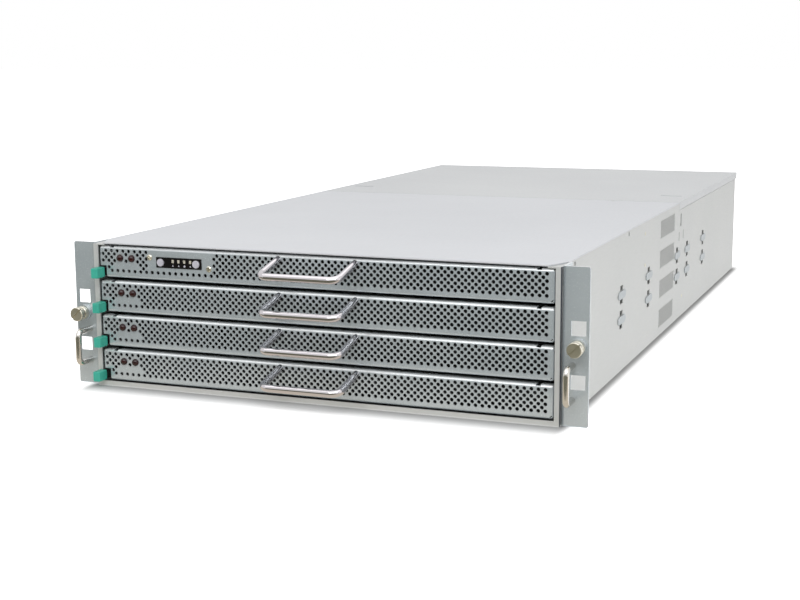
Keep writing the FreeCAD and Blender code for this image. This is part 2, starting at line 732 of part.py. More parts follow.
def slide_bolt(number):
    z0 = drawer_z(number)
    x0 = -FACE_W / 2 - TAB_OVERHANG
    x1 = x0 + TAB_W
    tab_back = FRONT_Y - TAB_HEM_GAP
    bolt_front = FACE_BACK + BOLT_GAP
    bolt_back = bolt_front + BOLT_T
    low = z0 + FACE_SHEET + BOLT_GAP
    high = low + BOLT_H
    nose_x = -HEM_IN + BOLT_NOSE_INSET
    tab = box(x0, x1, tab_back - TAB_L, tab_back, z0, z0 + TAB_H)
    tab = tab.makeChamfer(TAB_EDGE, [e for e in tab.Edges if e.BoundBox.YMin < tab_back - SEAT_GAP])
    neck = box(x1 - BOLT_NECK_W, x1, tab_back, bolt_front, low, high)
    nose = box(nose_x, nose_x + BOLT_NOSE_L, FRONT_Y + SHEET + TAB_HEM_GAP, bolt_back, low, high)
    bar = box(nose_x, nose_x + BOLT_L, bolt_front, bolt_back, low, high)
    bolt = fused([tab, neck, nose, bar])
    if number == DRAWERS:
        bolt.translate(X * BOTTOM_BOLT_SHIFT)
    return bolt


def drawer_handle(number):
    z0 = drawer_z(number)
    x = HANDLE_SPACING / 2
    base = point(x, FACE_Y, z0 + HANDLE_BASE_Z)
    grip = point(x, FACE_Y - HANDLE_REACH, z0 + HANDLE_BAR_Z)
    root = base + (base - grip).normalize() * HANDLE_D
    path = [root, grip, point(-grip.x, grip.y, grip.z), point(-root.x, root.y, root.z)]
    behind = box(-FACE_W, FACE_W, FACE_Y, FACE_Y + 2 * HANDLE_D, z0, z0 + 2 * FACE_H)
    handle = bow(path, HANDLE_BEND, HANDLE_D).cut(behind)
    handle.translate(X * HANDLE_X)
    return handle


def drawer_leds(number):
    z = drawer_z(number) + LED_Z
    dome_base = FACE_Y - LED_REACH + LED_DOME
    lenses = []
    for x in LED_XS:
        body = rod(LED_D, x, z, dome_base, FACE_Y + LED_BACK)
        dome = Part.makeCone(LED_D / 2, LED_TIP_D / 2, LED_DOME, point(x, dome_base, z), -Y)
        lenses.append(fused([body, dome]))
    return Part.makeCompound(lenses)


def drawer_tray(number):
    z0 = drawer_z(number) + TRAY_RISE
    z1 = z0 + TRAY_WALL_H
    t = TRAY_SHEET
    pan = box(-TRAY_OUT, TRAY_OUT, TRAY_Y, TRAY_REAR, z0, z1)
    cuts = [box(-TRAY_IN, TRAY_IN, TRAY_Y + t, TRAY_REAR - t, z0 + t, z1 + 1)]
    middle = (z0 + z1) / 2
    pitch = 2 * TRAY_IN / DRIVES_ACROSS
    for i in range(DRIVES_ACROSS):
        x = (i - (DRIVES_ACROSS - 1) / 2) * pitch
        half = TRAY_WINDOW_W / 2
        low, high = middle - TRAY_WINDOW_H / 2, middle + TRAY_WINDOW_H / 2
        cuts.append(box(x - half, x + half, TRAY_Y - 1, TRAY_Y + t + 1, low, high))
    plug_w, plug_h = MAIN_PLUG_W / 2 + 1, MAIN_PLUG_H / 2 + 1
    plug_z = drawer_z(number) + MAIN_PLUG_Z
    cuts.append(box(-plug_w, plug_w, TRAY_REAR - t - 1, TRAY_REAR + 1, plug_z - plug_h, plug_z + plug_h))
    inner = slide_channel(TRAY_OUT, slide_x("inner"), 2, number)
    return Part.makeCompound([pan.cut(cuts)] + both_sides(inner))


def slide_x(member):
    # Open-side X of each member's flanges; the middle member passes inside the chassis hem
    middle_web = HEM_IN - SLIDE_HEM_GAP
    if member == "middle":
        return middle_web
    return middle_web - SLIDE_WALL - SLIDE_GAP


def slide_channel(web_x, flange_x, nest, number):
    # Channel with its web at web_x and flanges reaching to flange_x, nested inwards by whole walls
    half = SLIDE_H / 2 - nest * (SLIDE_WALL + SLIDE_GAP)
    z = drawer_z(number) + SLIDE_Z
    inward = SLIDE_WALL if flange_x > web_x else -SLIDE_WALL
    corners = [
        (web_x, SLIDE_Y, z - half),
        (flange_x, SLIDE_Y, z - half),
        (flange_x, SLIDE_Y, z - half + SLIDE_WALL),
        (web_x + inward, SLIDE_Y, z - half + SLIDE_WALL),
        (web_x + inward, SLIDE_Y, z + half - SLIDE_WALL),
        (flange_x, SLIDE_Y, z + half - SLIDE_WALL),
        (flange_x, SLIDE_Y, z + half),
        (web_x, SLIDE_Y, z + half),
    ]
    return prism(corners, Y * SLIDE_L)


def middle_slides(number):
    web = slide_x("middle")
    tips = TRAY_OUT + SLIDE_WALL + SLIDE_GAP
    return Part.makeCompound(both_sides(slide_channel(web, tips, 1, number)))


def outer_slides():
    members = []
    tips = TRAY_OUT + 2 * (SLIDE_WALL + SLIDE_GAP)
    inner_face = slide_x("middle") + SLIDE_GAP
    for number in range(1, DRAWERS + 1):
        low = drawer_z(number) + SLIDE_Z - SLIDE_PAD_H / 2
        channel = slide_channel(inner_face + SLIDE_WALL, tips, 0, number)
        spacer = box(inner_face, WALL_IN, SLIDE_Y, SLIDE_Y + SLIDE_L, low, low + SLIDE_PAD_H)
        members += both_sides(fused([channel, spacer]))
    return Part.makeCompound(members)


def drawer_drives(number):
    z0 = drawer_z(number) + TRAY_RISE + TRAY_SHEET
    pitch = DRIVE_W + DRIVE_GAP
    body_h = DRIVE_H - DRIVE_LID_H
    inset = DRIVE_LID_INSET
    drives = []
    for row in range(DRIVE_ROWS):
        y = ROW_Y + row * ROW_PITCH
        for i in range(DRIVES_ACROSS):
            x = -TRAY_IN + DRIVE_GAP / 2 + i * pitch
            x1, y1 = x + DRIVE_W, y + DRIVE_L
            casting = box(x, x1, y, y1, z0, z0 + body_h)
            lid = box(x + inset, x1 - inset, y + inset, y1 - inset, z0 + body_h, z0 + DRIVE_H)
            drives.append(fused([casting, lid]))
    return Part.makeCompound(drives)


def drawer_backplanes(number):
    # Upright board behind each row of drives, with a plug per drive; the last carries the tray's main plug
    z0 = drawer_z(number) + TRAY_RISE + TRAY_SHEET
    pitch = DRIVE_W + DRIVE_GAP
    boards = []
    for row in range(DRIVE_ROWS):
        y = ROW_Y + row * ROW_PITCH + DRIVE_L
        face = y + ROW_GAP / 2
        parts = [box(-TRAY_IN + DRIVE_GAP, TRAY_IN - DRIVE_GAP, face, face + BOARD_T, z0, z0 + BACKPLANE_H)]
        for i in range(DRIVES_ACROSS):
            x = (i - (DRIVES_ACROSS - 1) / 2) * pitch
            low = z0 + BOARD_T
            parts.append(box(x - PLUG_W / 2, x + PLUG_W / 2, y + MATE_GAP, face, low, low + PLUG_H))
        if row == DRIVE_ROWS - 1:
            parts.append(main_plug(number, face + BOARD_T, TRAY_REAR + MIDPLANE_GAP / 2))
        boards.append(fused(parts))
    return Part.makeCompound(boards)


def main_plug(number, y0, y1):
    z = drawer_z(number) + MAIN_PLUG_Z
    return box(-MAIN_PLUG_W / 2, MAIN_PLUG_W / 2, y0, y1, z - MAIN_PLUG_H / 2, z + MAIN_PLUG_H / 2)


def midplane():
    half = WALL_IN - MIDPLANE_MARGIN
    top = TUB_TOP - MIDPLANE_MARGIN
    board = box(-half, half, MIDPLANE_Y, MIDPLANE_Y + BOARD_T, SHEET, top)
    vents = []
    for number in range(1, DRAWERS + 1):
        z = drawer_z(number) + MAIN_PLUG_Z - MIDPLANE_VENT_H
        x0 = MAIN_PLUG_W / 2 + MIDPLANE_MARGIN
        x1 = half - MIDPLANE_EDGE
        slot = box(x0, x1, MIDPLANE_Y - 1, MIDPLANE_Y + BOARD_T + 1, z, z + MIDPLANE_VENT_H)
        vents += both_sides(slot)
    face = TRAY_REAR + MIDPLANE_GAP / 2 + MATE_GAP
    sockets = [main_plug(number, face, MIDPLANE_Y) for number in range(1, DRAWERS + 1)]
    return fused([board.cut(vents)] + sockets)


def fan_x(index):
    return (index - (FAN_COUNT - 1) / 2) * FAN_PITCH


def fan_wall():
    # Upright sheet with a hole per fan, a folded top flange and spacers for the midplane
    half = UPPER_IN - SEAT_GAP
    top = TUB_TOP - SHEET - SEAT_GAP
    plate = box(-half, half, FAN_WALL_Y, FAN_Y, SHEET, top)
    edge = half - TOP_FLANGE_W
    flange = box(-edge, edge, FAN_WALL_Y, FAN_WALL_Y + FAN_WALL_FLANGE, top, TUB_TOP)
    x = WALL_IN - MIDPLANE_MARGIN - SPACER_INSET
    zs = (SHEET + SPACER_INSET, TUB_TOP - MIDPLANE_MARGIN - SPACER_INSET)
    spacers = [s for z in zs for s in both_sides(rod(SPACER_D, x, z, MIDPLANE_Y + BOARD_T, FAN_WALL_Y))]
    holes = [rod(FAN_BORE_D, fan_x(i), FAN_Z, FAN_WALL_Y - 1, FAN_Y + 1) for i in range(FAN_COUNT)]
    return fused([plate, flange] + spacers).cut(holes)


def fan_frame(index):
    x = fan_x(index)
    half = FAN_SIZE / 2
    back = FAN_Y + FAN_DEPTH
    stator = back - FAN_STATOR_L
    frame = box(x - half, x + half, FAN_Y, back, FAN_Z - half, FAN_Z + half)
    frame = frame.cut(rod(FAN_BORE_D, x, FAN_Z, FAN_Y - 1, back + 1))
    reach = FAN_BORE_D / 2 + 1
    struts = []
    for i in range(FAN_STRUTS):
        strut = box(x - FAN_STRUT_W / 2, x + FAN_STRUT_W / 2, stator, back, FAN_Z, FAN_Z + reach)
        strut.rotate(point(x, 0, FAN_Z), Y, 360 / FAN_STRUTS * (i + 0.5))
        struts.append(strut)
    hub = rod(FAN_HUB_D, x, FAN_Z, stator, back)
    shaft = rod(FAN_SHAFT_D, x, FAN_Z, stator - FAN_SHAFT_L, stator)
    return fused([frame, hub, shaft] + struts)


def fan_rotor(index):
    x = fan_x(index)
    front = FAN_Y + FAN_END_GAP
    back = FAN_Y + FAN_DEPTH - FAN_STATOR_L - FAN_END_GAP / 3
    parts = [rod(FAN_HUB_D, x, FAN_Z, front, back)]
    middle = (front + back) / 2
    tip = FAN_BORE_D / 2 - FAN_TIP_GAP
    for i in range(BLADES):
        blade = box(x - BLADE_T / 2, x + BLADE_T / 2, middle - BLADE_CHORD / 2, middle + BLADE_CHORD / 2,
                    FAN_Z + FAN_HUB_D / 2 - BLADE_T, FAN_Z + tip + 1)
        blade.rotate(point(x, middle, FAN_Z), Z, BLADE_PITCH)
        blade.rotate(point(x, middle, FAN_Z), Y, 360 / BLADES * i)
        parts.append(blade)
    swept = rod(2 * tip, x, FAN_Z, front, back)
    bore = rod(FAN_SHAFT_D + 2 * FAN_RUNNING, x, FAN_Z, back - FAN_SHAFT_L - 1, back + 1)
    return fused(parts).common(swept).cut(bore)


def panel_block(z0, grow, y0, y1):
    half_w, half_h = PANEL_W / 2 + grow, PANEL_H / 2 + grow
    return box(PANEL_X - half_w, PANEL_X + half_w, y0, y1, z0 + PANEL_Z - half_h, z0 + PANEL_Z + half_h)


def control_panel():
    z0 = drawer_z(1)
    board_y = FACE_BACK + PANEL_BOARD_GAP
    front = FACE_Y - PANEL_PROUD
    bezel = panel_block(z0, 0, front, board_y)
    cuts = [rod(BUTTON_D + 2 * BUTTON_FIT, x, z0 + PANEL_Z, front - 1, board_y) for x in BUTTON_XS]
    cuts += [status_window(x, LED_FIT, front - 1, board_y) for x in STATUS_XS]
    half_w, half_h = PANEL_BOARD_W / 2, PANEL_BOARD_H / 2
    z = z0 + PANEL_Z
    board = box(PANEL_X - half_w, PANEL_X + half_w, board_y, board_y + BOARD_T, z - half_h, z + half_h)
    bosses = [rod(PANEL_BOSS_D, PANEL_X + dx, z + dz, FACE_BACK, board_y) for dx, dz in PANEL_SCREWS]
    return Part.makeCompound([bezel.cut(cuts), fused([board] + bosses)])


def status_window(x, gap, y0, y1):
    z = drawer_z(1) + STATUS_Z
    half_w, half_h = STATUS_W / 2 + gap, STATUS_H / 2 + gap
    return box(x - half_w, x + half_w, y0, y1, z - half_h, z + half_h)


def push_button(x):
    z = drawer_z(1) + PANEL_Z
    front = FACE_Y - PANEL_PROUD - BUTTON_PROUD
    back = FACE_BACK + PANEL_BOARD_GAP - BUTTON_TRAVEL - BUTTON_FLOOR
    cap = rod(BUTTON_D, x, z, front, back)
    return cap.makeChamfer(BUTTON_EDGE, [e for e in cap.Edges if e.BoundBox.YMax < front + SEAT_GAP])


def panel_leds():
    front = FACE_Y - PANEL_PROUD - STATUS_PROUD
    return Part.makeCompound([status_window(x, 0, front, FACE_BACK + PANEL_BOARD_GAP) for x in STATUS_XS])


def motherboard():
    board = box(MAIN_X, MAIN_X + MAIN_W, MAIN_FRONT, MAIN_REAR, MAIN_Z, MAIN_TOP)
    y1 = MAIN_REAR - SOCKET_FROM_REAR
    sockets = []
    for i in range(SLOTS):
        x0 = slot_x(i) - SOCKET_W / 2
        sockets.append(box(x0, x0 + SOCKET_W, y1 - SOCKET_L, y1, MAIN_TOP, MAIN_TOP + SOCKET_H))
    return fused([board] + sockets)


def cpu_heatsinks():
    sinks = []
    half = SINK_W / 2
    base_top = MAIN_TOP + SINK_BASE
    step = (SINK_W - SINK_FIN_T) / (SINK_FINS - 1)
    for from_front in SINK_FROM_FRONT:
        y = MAIN_FRONT + from_front
        parts = [box(SINK_X - half, SINK_X + half, y - half, y + half, MAIN_TOP, base_top)]
        for i in range(SINK_FINS):
            fin = SINK_X - half + i * step
            parts.append(box(fin, fin + SINK_FIN_T, y - half, y + half, base_top, MAIN_TOP + SINK_H))
        sinks.append(fused(parts))
    return Part.makeCompound(sinks)


def memory_modules():
    sticks = []
    y = MAIN_FRONT + SINK_FROM_FRONT[0] - SINK_W / 2
    for i in range(MEMORY_COUNT):
        x0 = SINK_X + SINK_W / 2 + MEMORY_SIDE_GAP + i * MEMORY_PITCH
        sticks.append(box(x0, x0 + MEMORY_T, y, y + MEMORY_L, MAIN_TOP, MAIN_TOP + MEMORY_H))
    return Part.makeCompound(sticks)


def expansion_cards():
    # Brackets behind the slots; one belongs to the storage controller card that stands in its socket
    brackets = []
    z0, z1 = SLOT_Z - BRACKET_LAP, SLOT_Z + SLOT_H + BRACKET_LAP
    for i in range(SLOTS):
        x = slot_x(i)
        plate = box(x - BRACKET_W / 2, x + BRACKET_W / 2, REAR_IN - BRACKET_T, REAR_IN, z0, z1)
        if i == CARD_SLOT_NUMBER:
            low = MAIN_TOP + SOCKET_H
            front = REAR_IN - BRACKET_T - CARD_L
            board = box(x - CARD_T / 2, x + CARD_T / 2, front, REAR_IN - BRACKET_T, low, low + CARD_H)
            middle_y, middle_z = front + CARD_L / 2, low + CARD_H / 2
            side = CARD_CHIP / 2
            chip = box(x + CARD_T / 2, x + CARD_T / 2 + CARD_CHIP_T, middle_y - side, middle_y + side,
                       middle_z - side, middle_z + side)
            plate = fused([plate, board, chip])
        brackets.append(plate)
    return Part.makeCompound(brackets)


def io_connectors():
    blocks = []
    for from_cage, width, height in CONNECTORS:
        x = CAGE_X - from_cage
        half = width / 2
        block = box(x - half, x + half, CHASSIS_D - CONNECTOR_L, CHASSIS_D, MAIN_TOP, MAIN_TOP + height)
        inner = half - CONNECTOR_RIM
        low, high = MAIN_TOP + CONNECTOR_RIM, MAIN_TOP + height - CONNECTOR_RIM
        mouth = box(x - inner, x + inner, CHASSIS_D - CONNECTOR_RECESS, CHASSIS_D + 1, low, high)
        blocks.append(block.cut(mouth))
    return Part.makeCompound(blocks)


def psu_cage():
    # Open-ended sheet housing with a shelf, closed in front by the power distribution board
    y0 = PSU_FRONT - CAGE_BOARD_GAP - BOARD_T
    t = CAGE_SHEET
    x0, x1 = CAGE_X + t, CAGE_X1 - t
    housing = box(CAGE_X, CAGE_X1, y0, REAR_IN, SHEET, CAGE_TOP)
    bays = []
    boards = []
    for z in PSU_ZS:
        low, high = z - PSU_CLEAR, z + PSU_H + PSU_CLEAR
        bays.append(box(x0, x1, y0 - 1, REAR_IN + 1, low, high))
        board = box(x0, x1, y0, y0 + BOARD_T, low, high)
        middle_x, middle_z = PSU_X + PSU_W / 2, z + PSU_H / 2
        half_w, half_h = MAIN_PLUG_W / 2, PLUG_H / 2
        plug = box(middle_x - half_w, middle_x + half_w, y0 + BOARD_T, PSU_FRONT - MATE_GAP,
                   middle_z - half_h, middle_z + half_h)
        boards.append(fused([board, plug]))
    return Part.makeCompound([housing.cut(bays)] + boards)


def power_supply(index):
    z0 = PSU_ZS[index]
    middle_z = z0 + PSU_H / 2
    y1 = CHASSIS_D
    case = box(PSU_X, PSU_X + PSU_W, PSU_FRONT, y1, z0, z0 + PSU_H)
    inlet_x = PSU_X + PSU_W - INLET_INSET
    half = INLET_W / 2
    low, high = middle_z - INLET_H / 2, middle_z + INLET_H / 2
    cuts = [box(inlet_x - half, inlet_x + half, y1 - INLET_DEPTH, y1 + 1, low, high)]
    x0 = PSU_X + GRILLE_INSET - GRILLE_D / 2
    pitch = GRILLE_D / GRILLE_BARS
    for i in range(GRILLE_BARS):
        low = middle_z - GRILLE_D / 2 + i * pitch + GRILLE_BAR_W / 2
        cuts.append(box(x0, x0 + GRILLE_D, y1 - GRILLE_DEPTH, y1 + 1, low, low + pitch - GRILLE_BAR_W))
    return fused([case.cut(cuts), pull(z0)])


def pull(z0):
    # Bent strap handle on a power supply's rear face
    x = PSU_X + GRILLE_INSET
    y0, y1 = CHASSIS_D, CHASSIS_D + PULL_REACH
    low, high = z0 + PSU_H / 2 - PULL_H / 2, z0 + PSU_H / 2 + PULL_H / 2
    half = PULL_W / 2
    outer = box(x - half, x + half, y0, y1, low, high)
    outer = rounded(outer, PULL_BEND, lambda e: runs_along(e, Z) and e.BoundBox.YMin > y1 - SEAT_GAP)
    gap_y = y1 - PULL_T
    inner = box(x - half + PULL_T, x + half - PULL_T, y0 - 1, gap_y, low - 1, high + 1)
    inner_r = PULL_BEND - PULL_T / 2
    inner = rounded(inner, inner_r, lambda e: runs_along(e, Z) and e.BoundBox.YMin > gap_y - SEAT_GAP)
    return outer.cut(inner)


def export(name, shape):
    shape.exportStep(os.path.join("parts", name + ".step"))


os.makedirs("parts", exist_ok=True)
export("chassis_tub", tub())
export("side_vent_screens", vent_screens())
export("front_top_panel", front_top_panel())
export("rear_top_cover", rear_top_cover())
export("rear_panel", rear_panel())
export("rack_ears", Part.makeCompound(rack_ears()))
export("ear_handles", Part.makeCompound(ear_handles()))
export("right_thumbscrew", thumbscrew())
export("left_thumbscrew", mirrored(thumbscrew()))
export("outer_slides", outer_slides())
export("midplane", midplane())
export("fan_wall", fan_wall())
export("fan_frames", Part.makeCompound([fan_frame(i) for i in range(FAN_COUNT)]))
for i in range(FAN_COUNT):
    export(f"fan_rotor_{i + 1}", fan_rotor(i))
export("motherboard", motherboard())
export("cpu_heatsinks", cpu_heatsinks())
export("memory_modules", memory_modules())
export("expansion_cards", expansion_cards())
export("io_connectors", io_connectors())
export("psu_cage", psu_cage())
export("psu_1", power_supply(0))
export("psu_2", power_supply(1))
export("control_panel", control_panel())
export("panel_leds", panel_leds())
export("power_button", push_button(BUTTON_XS[0]))
export("reset_button", push_button(BUTTON_XS[1]))
for number in range(1, DRAWERS + 1):
    export(f"drawer_{number}_front", drawer_front(number))
    export(f"drawer_{number}_tray", drawer_tray(number))
    export(f"drawer_{number}_handle", drawer_handle(number))
    export(f"drawer_{number}_leds", drawer_leds(number))
    export(f"drawer_{number}_drives", drawer_drives(number))
    export(f"drawer_{number}_backplanes", drawer_backplanes(number))
    export(f"drawer_{number}_bolt", slide_bolt(number))
    export(f"drawer_{number}_slides", middle_slides(number))
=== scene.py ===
import json
import math

import bmesh
import bpy
from mathutils import Matrix, Vector


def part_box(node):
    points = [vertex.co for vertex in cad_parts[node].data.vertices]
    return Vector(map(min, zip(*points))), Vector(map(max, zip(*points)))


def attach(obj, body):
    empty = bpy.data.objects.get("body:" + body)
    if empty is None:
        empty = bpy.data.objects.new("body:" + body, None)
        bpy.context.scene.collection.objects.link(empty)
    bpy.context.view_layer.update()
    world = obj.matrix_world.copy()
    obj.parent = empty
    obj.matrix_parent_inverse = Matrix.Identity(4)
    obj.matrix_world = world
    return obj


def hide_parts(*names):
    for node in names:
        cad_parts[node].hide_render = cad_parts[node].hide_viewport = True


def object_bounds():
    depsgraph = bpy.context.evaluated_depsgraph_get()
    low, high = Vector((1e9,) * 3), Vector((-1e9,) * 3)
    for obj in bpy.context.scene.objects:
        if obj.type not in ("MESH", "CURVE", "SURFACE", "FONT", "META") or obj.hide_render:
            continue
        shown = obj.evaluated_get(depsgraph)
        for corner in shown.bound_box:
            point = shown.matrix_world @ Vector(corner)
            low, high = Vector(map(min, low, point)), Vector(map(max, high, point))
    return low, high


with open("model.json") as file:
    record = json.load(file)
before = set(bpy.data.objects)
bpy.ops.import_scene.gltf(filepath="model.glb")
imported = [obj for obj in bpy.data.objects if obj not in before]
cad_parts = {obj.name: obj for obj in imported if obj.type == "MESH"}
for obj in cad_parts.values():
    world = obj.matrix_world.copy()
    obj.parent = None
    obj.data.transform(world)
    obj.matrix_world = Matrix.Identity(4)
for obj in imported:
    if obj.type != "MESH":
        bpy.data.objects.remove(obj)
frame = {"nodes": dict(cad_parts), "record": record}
nodes = frame["nodes"]
cadLow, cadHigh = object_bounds()
mm = 0.001
print("frame loaded:", len(nodes), "nodes")

drawerNumbers = (1, 2, 3, 4)
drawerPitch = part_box("drawer_1_front")[0].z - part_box("drawer_2_front")[0].z
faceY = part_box("drawer_1_front")[0].y
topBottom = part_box("drawer_1_front")[0].z / mm
near = 0.1  # millimetres within which an edge counts as lying on a side
square = 0.9  # share of a normal from which a face counts as facing that way
overrun = 1.0  # millimetres that a cutter runs past what it cuts


# Small tools

def linear(hexColour):
    channels = [int(hexColour[i:i + 2], 16) / 255 for i in (1, 3, 5)]
    return [c / 12.92 if c <= 0.04045 else ((c + 0.055) / 1.055) ** 2.4 for c in channels] + [1.0]


def addNode(tree, kind, sockets=None, **settings):
    node = tree.nodes.new(kind)
    for name, value in settings.items():
        setattr(node, name, value)
    for name, value in (sockets or {}).items():
        if isinstance(value, bpy.types.NodeSocket):
            tree.links.new(value, node.inputs[name])
        else:
            node.inputs[name].default_value = value
    return node


def clearSelection():
    if bpy.context.object and bpy.context.object.mode != "OBJECT":
        bpy.ops.object.mode_set(mode="OBJECT")
    bpy.ops.object.select_all(action="DESELECT")


def focus(piece):
    clearSelection()
    piece.select_set(True)
    bpy.context.view_layer.objects.active = piece


def block(low, high):  # a cube at its size and place, corners in millimetres
    clearSelection()
    size = [(b - a) * mm for a, b in zip(low, high)]
    centre = [(a + b) / 2 * mm for a, b in zip(low, high)]
    bpy.ops.mesh.primitive_cube_add(size=1, location=centre, scale=size)
    bpy.ops.object.transform_apply(location=True, rotation=True, scale=True)
    return bpy.context.object


def pick(piece, kind, chosen):  # goes into edit mode with the chosen vertices, edges or faces selected
    focus(piece)
    bpy.ops.object.mode_set(mode="EDIT")
    bpy.ops.mesh.select_mode(type=kind)
    bpy.ops.mesh.select_all(action="DESELECT")
    mesh = bmesh.from_edit_mesh(piece.data)
    mesh.normal_update()
    for item in {"VERT": mesh.verts, "EDGE": mesh.edges, "FACE": mesh.faces}[kind]:
        if chosen(item):
            item.select_set(True)
    mesh.select_flush_mode()
    bmesh.update_edit_mesh(piece.data)


def middle(edge):
    return sum((v.co for v in edge.verts), Vector()) / len(edge.verts) / mm


def bevelPicked(width, segments):
    bpy.ops.mesh.bevel(offset=width * mm, offset_type="OFFSET", segments=segments, affect="EDGES")
    bpy.ops.object.mode_set(mode="OBJECT")


def sinkPicked(wall, depth):  # leaves a wall round the picked faces and pushes them back along Y
    bpy.ops.mesh.inset(thickness=wall * mm)
    bpy.ops.mesh.extrude_region_move(TRANSFORM_OT_translate={"value": (0, -depth * mm, 0)})
    bpy.ops.object.mode_set(mode="OBJECT")


def applyModifier(piece, kind, **settings):
    modifier = piece.modifiers.new(kind.title(), kind)
    for name, value in settings.items():
        setattr(modifier, name, value)
    focus(piece)
    bpy.ops.object.modifier_apply(modifier=modifier.name)


def cutAway(piece, cutter):
    applyModifier(piece, "BOOLEAN", operation="DIFFERENCE", solver="EXACT", object=cutter)
    bpy.data.objects.remove(cutter)


def joined(pieces):
    focus(pieces[0])
    for piece in pieces[1:]:
        piece.select_set(True)
    bpy.ops.object.join()
    return pieces[0]


def copied(piece, shift):  # a copy with its own mesh, moved inside that mesh
    twin = piece.copy()
    twin.data = piece.data.copy()
    bpy.context.scene.collection.objects.link(twin)
    twin.data.transform(Matrix.Translation(Vector(shift)))
    return twin


def outwards(piece):  # merges doubles and turns every face outwards
    focus(piece)
    bpy.ops.object.mode_set(mode="EDIT")
    bpy.ops.mesh.select_all(action="SELECT")
    bpy.ops.mesh.remove_doubles(threshold=0.00001)
    bpy.ops.mesh.normals_make_consistent(inside=False)
    bpy.ops.object.mode_set(mode="OBJECT")


def barEnd(sides, radius, place, turn):  # a disc in edit mode, selected and ready to be drawn out
    clearSelection()
    bpy.ops.mesh.primitive_circle_add(
        vertices=sides, radius=radius * mm, fill_type="NGON", location=place, rotation=turn,
    )
    bpy.ops.object.transform_apply(location=True, rotation=True, scale=True)
    bar = bpy.context.object
    bpy.ops.object.mode_set(mode="EDIT")
    bpy.ops.mesh.select_mode(type="FACE")
    bpy.ops.mesh.select_all(action="SELECT")
    return bar


def turned(x, z, profile, sides):  # lathe work along Y: (y, radius) steps in millimetres, from back to front
    y, radius = profile[0]
    bar = barEnd(sides, radius, (x * mm, y * mm, z * mm), (math.pi / 2, 0, 0))
    for nextY, nextRadius in profile[1:]:
        bpy.ops.mesh.extrude_region_move(TRANSFORM_OT_translate={"value": (0, (nextY - y) * mm, 0)})
        if nextRadius != radius:
            share = nextRadius / radius
            bpy.ops.transform.resize(value=(share, 1, share), center_override=(x * mm, nextY * mm, z * mm))
        y, radius = nextY, nextRadius
    outwards(bar)
    return bar


def boreCutters(bores, depth, turn):  # round cutters in one mesh, from each one's place, radius and sides
    clearSelection()
    for count, (place, radius, sides) in enumerate(bores):
        bpy.ops.mesh.primitive_cylinder_add(
            vertices=sides, radius=radius * mm, depth=depth * mm, location=place, rotation=turn,
        )
        if count == 0:  # the rest are added to its mesh
            bpy.ops.object.transform_apply(location=True, rotation=True, scale=True)
            bpy.ops.object.mode_set(mode="EDIT")
    bpy.ops.object.mode_set(mode="OBJECT")
    return bpy.context.object


def placed(piece, turn, place):
    focus(piece)
    piece.rotation_euler = turn
    piece.location = Vector(place) * mm
    bpy.ops.object.transform_apply(location=True, rotation=True, scale=True)
    return piece


def settle(piece, name, body, finish, standsFor=(), smooth=30):
    focus(piece)
    piece.name = piece.data.name = name
    piece.data.materials.clear()
    piece.data.materials.append(finish)
    bpy.ops.object.shade_smooth_by_angle(angle=math.radians(smooth))
    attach(piece, body)
    if standsFor:
        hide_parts(*standsFor)


def settleDrawers(piece, numbers, name, finish, part, smooth=30):  # copies for the drawers below the first
    shifts = [(0, 0, -(number - numbers[0]) * drawerPitch) for number in numbers[1:]]
    twins = [copied(piece, shift) for shift in shifts]
    for number, drawerPiece in zip(numbers, [piece] + twins):
        standsFor = [f"drawer_{number}_{part}"]
        settle(drawerPiece, f"{name}_{number}", f"drawer_{number}", finish, standsFor, smooth)


# Materials

noiseSpan = {"From Min": 0.3, "From Max": 0.7}  # the values that a noise texture mostly gives


def newMaterial(name):
    material = bpy.data.materials.new(name)
    material.use_nodes = True
    material.node_tree.nodes.clear()
    return material, material.node_tree


zincLook = {
    "patch": 220, "grain": (0.9, 14, 0.9), "relief": 0.004, "metallic": 0.2, "rough": (0.36, 0.46),
    # painted sheen: the pressed straps that stand out of the wall get this darker, bluer grey
    "strap": "#B2B9BC", "strapFrom": 218.7,
    # painted shade: a dark band on the hem's step beside the right ear, at positive X only
    "joint": "#454852", "jointShadeX": 218.4, "jointShadeHalf": 0.3, "jointShadeDepth": -1.9,
}
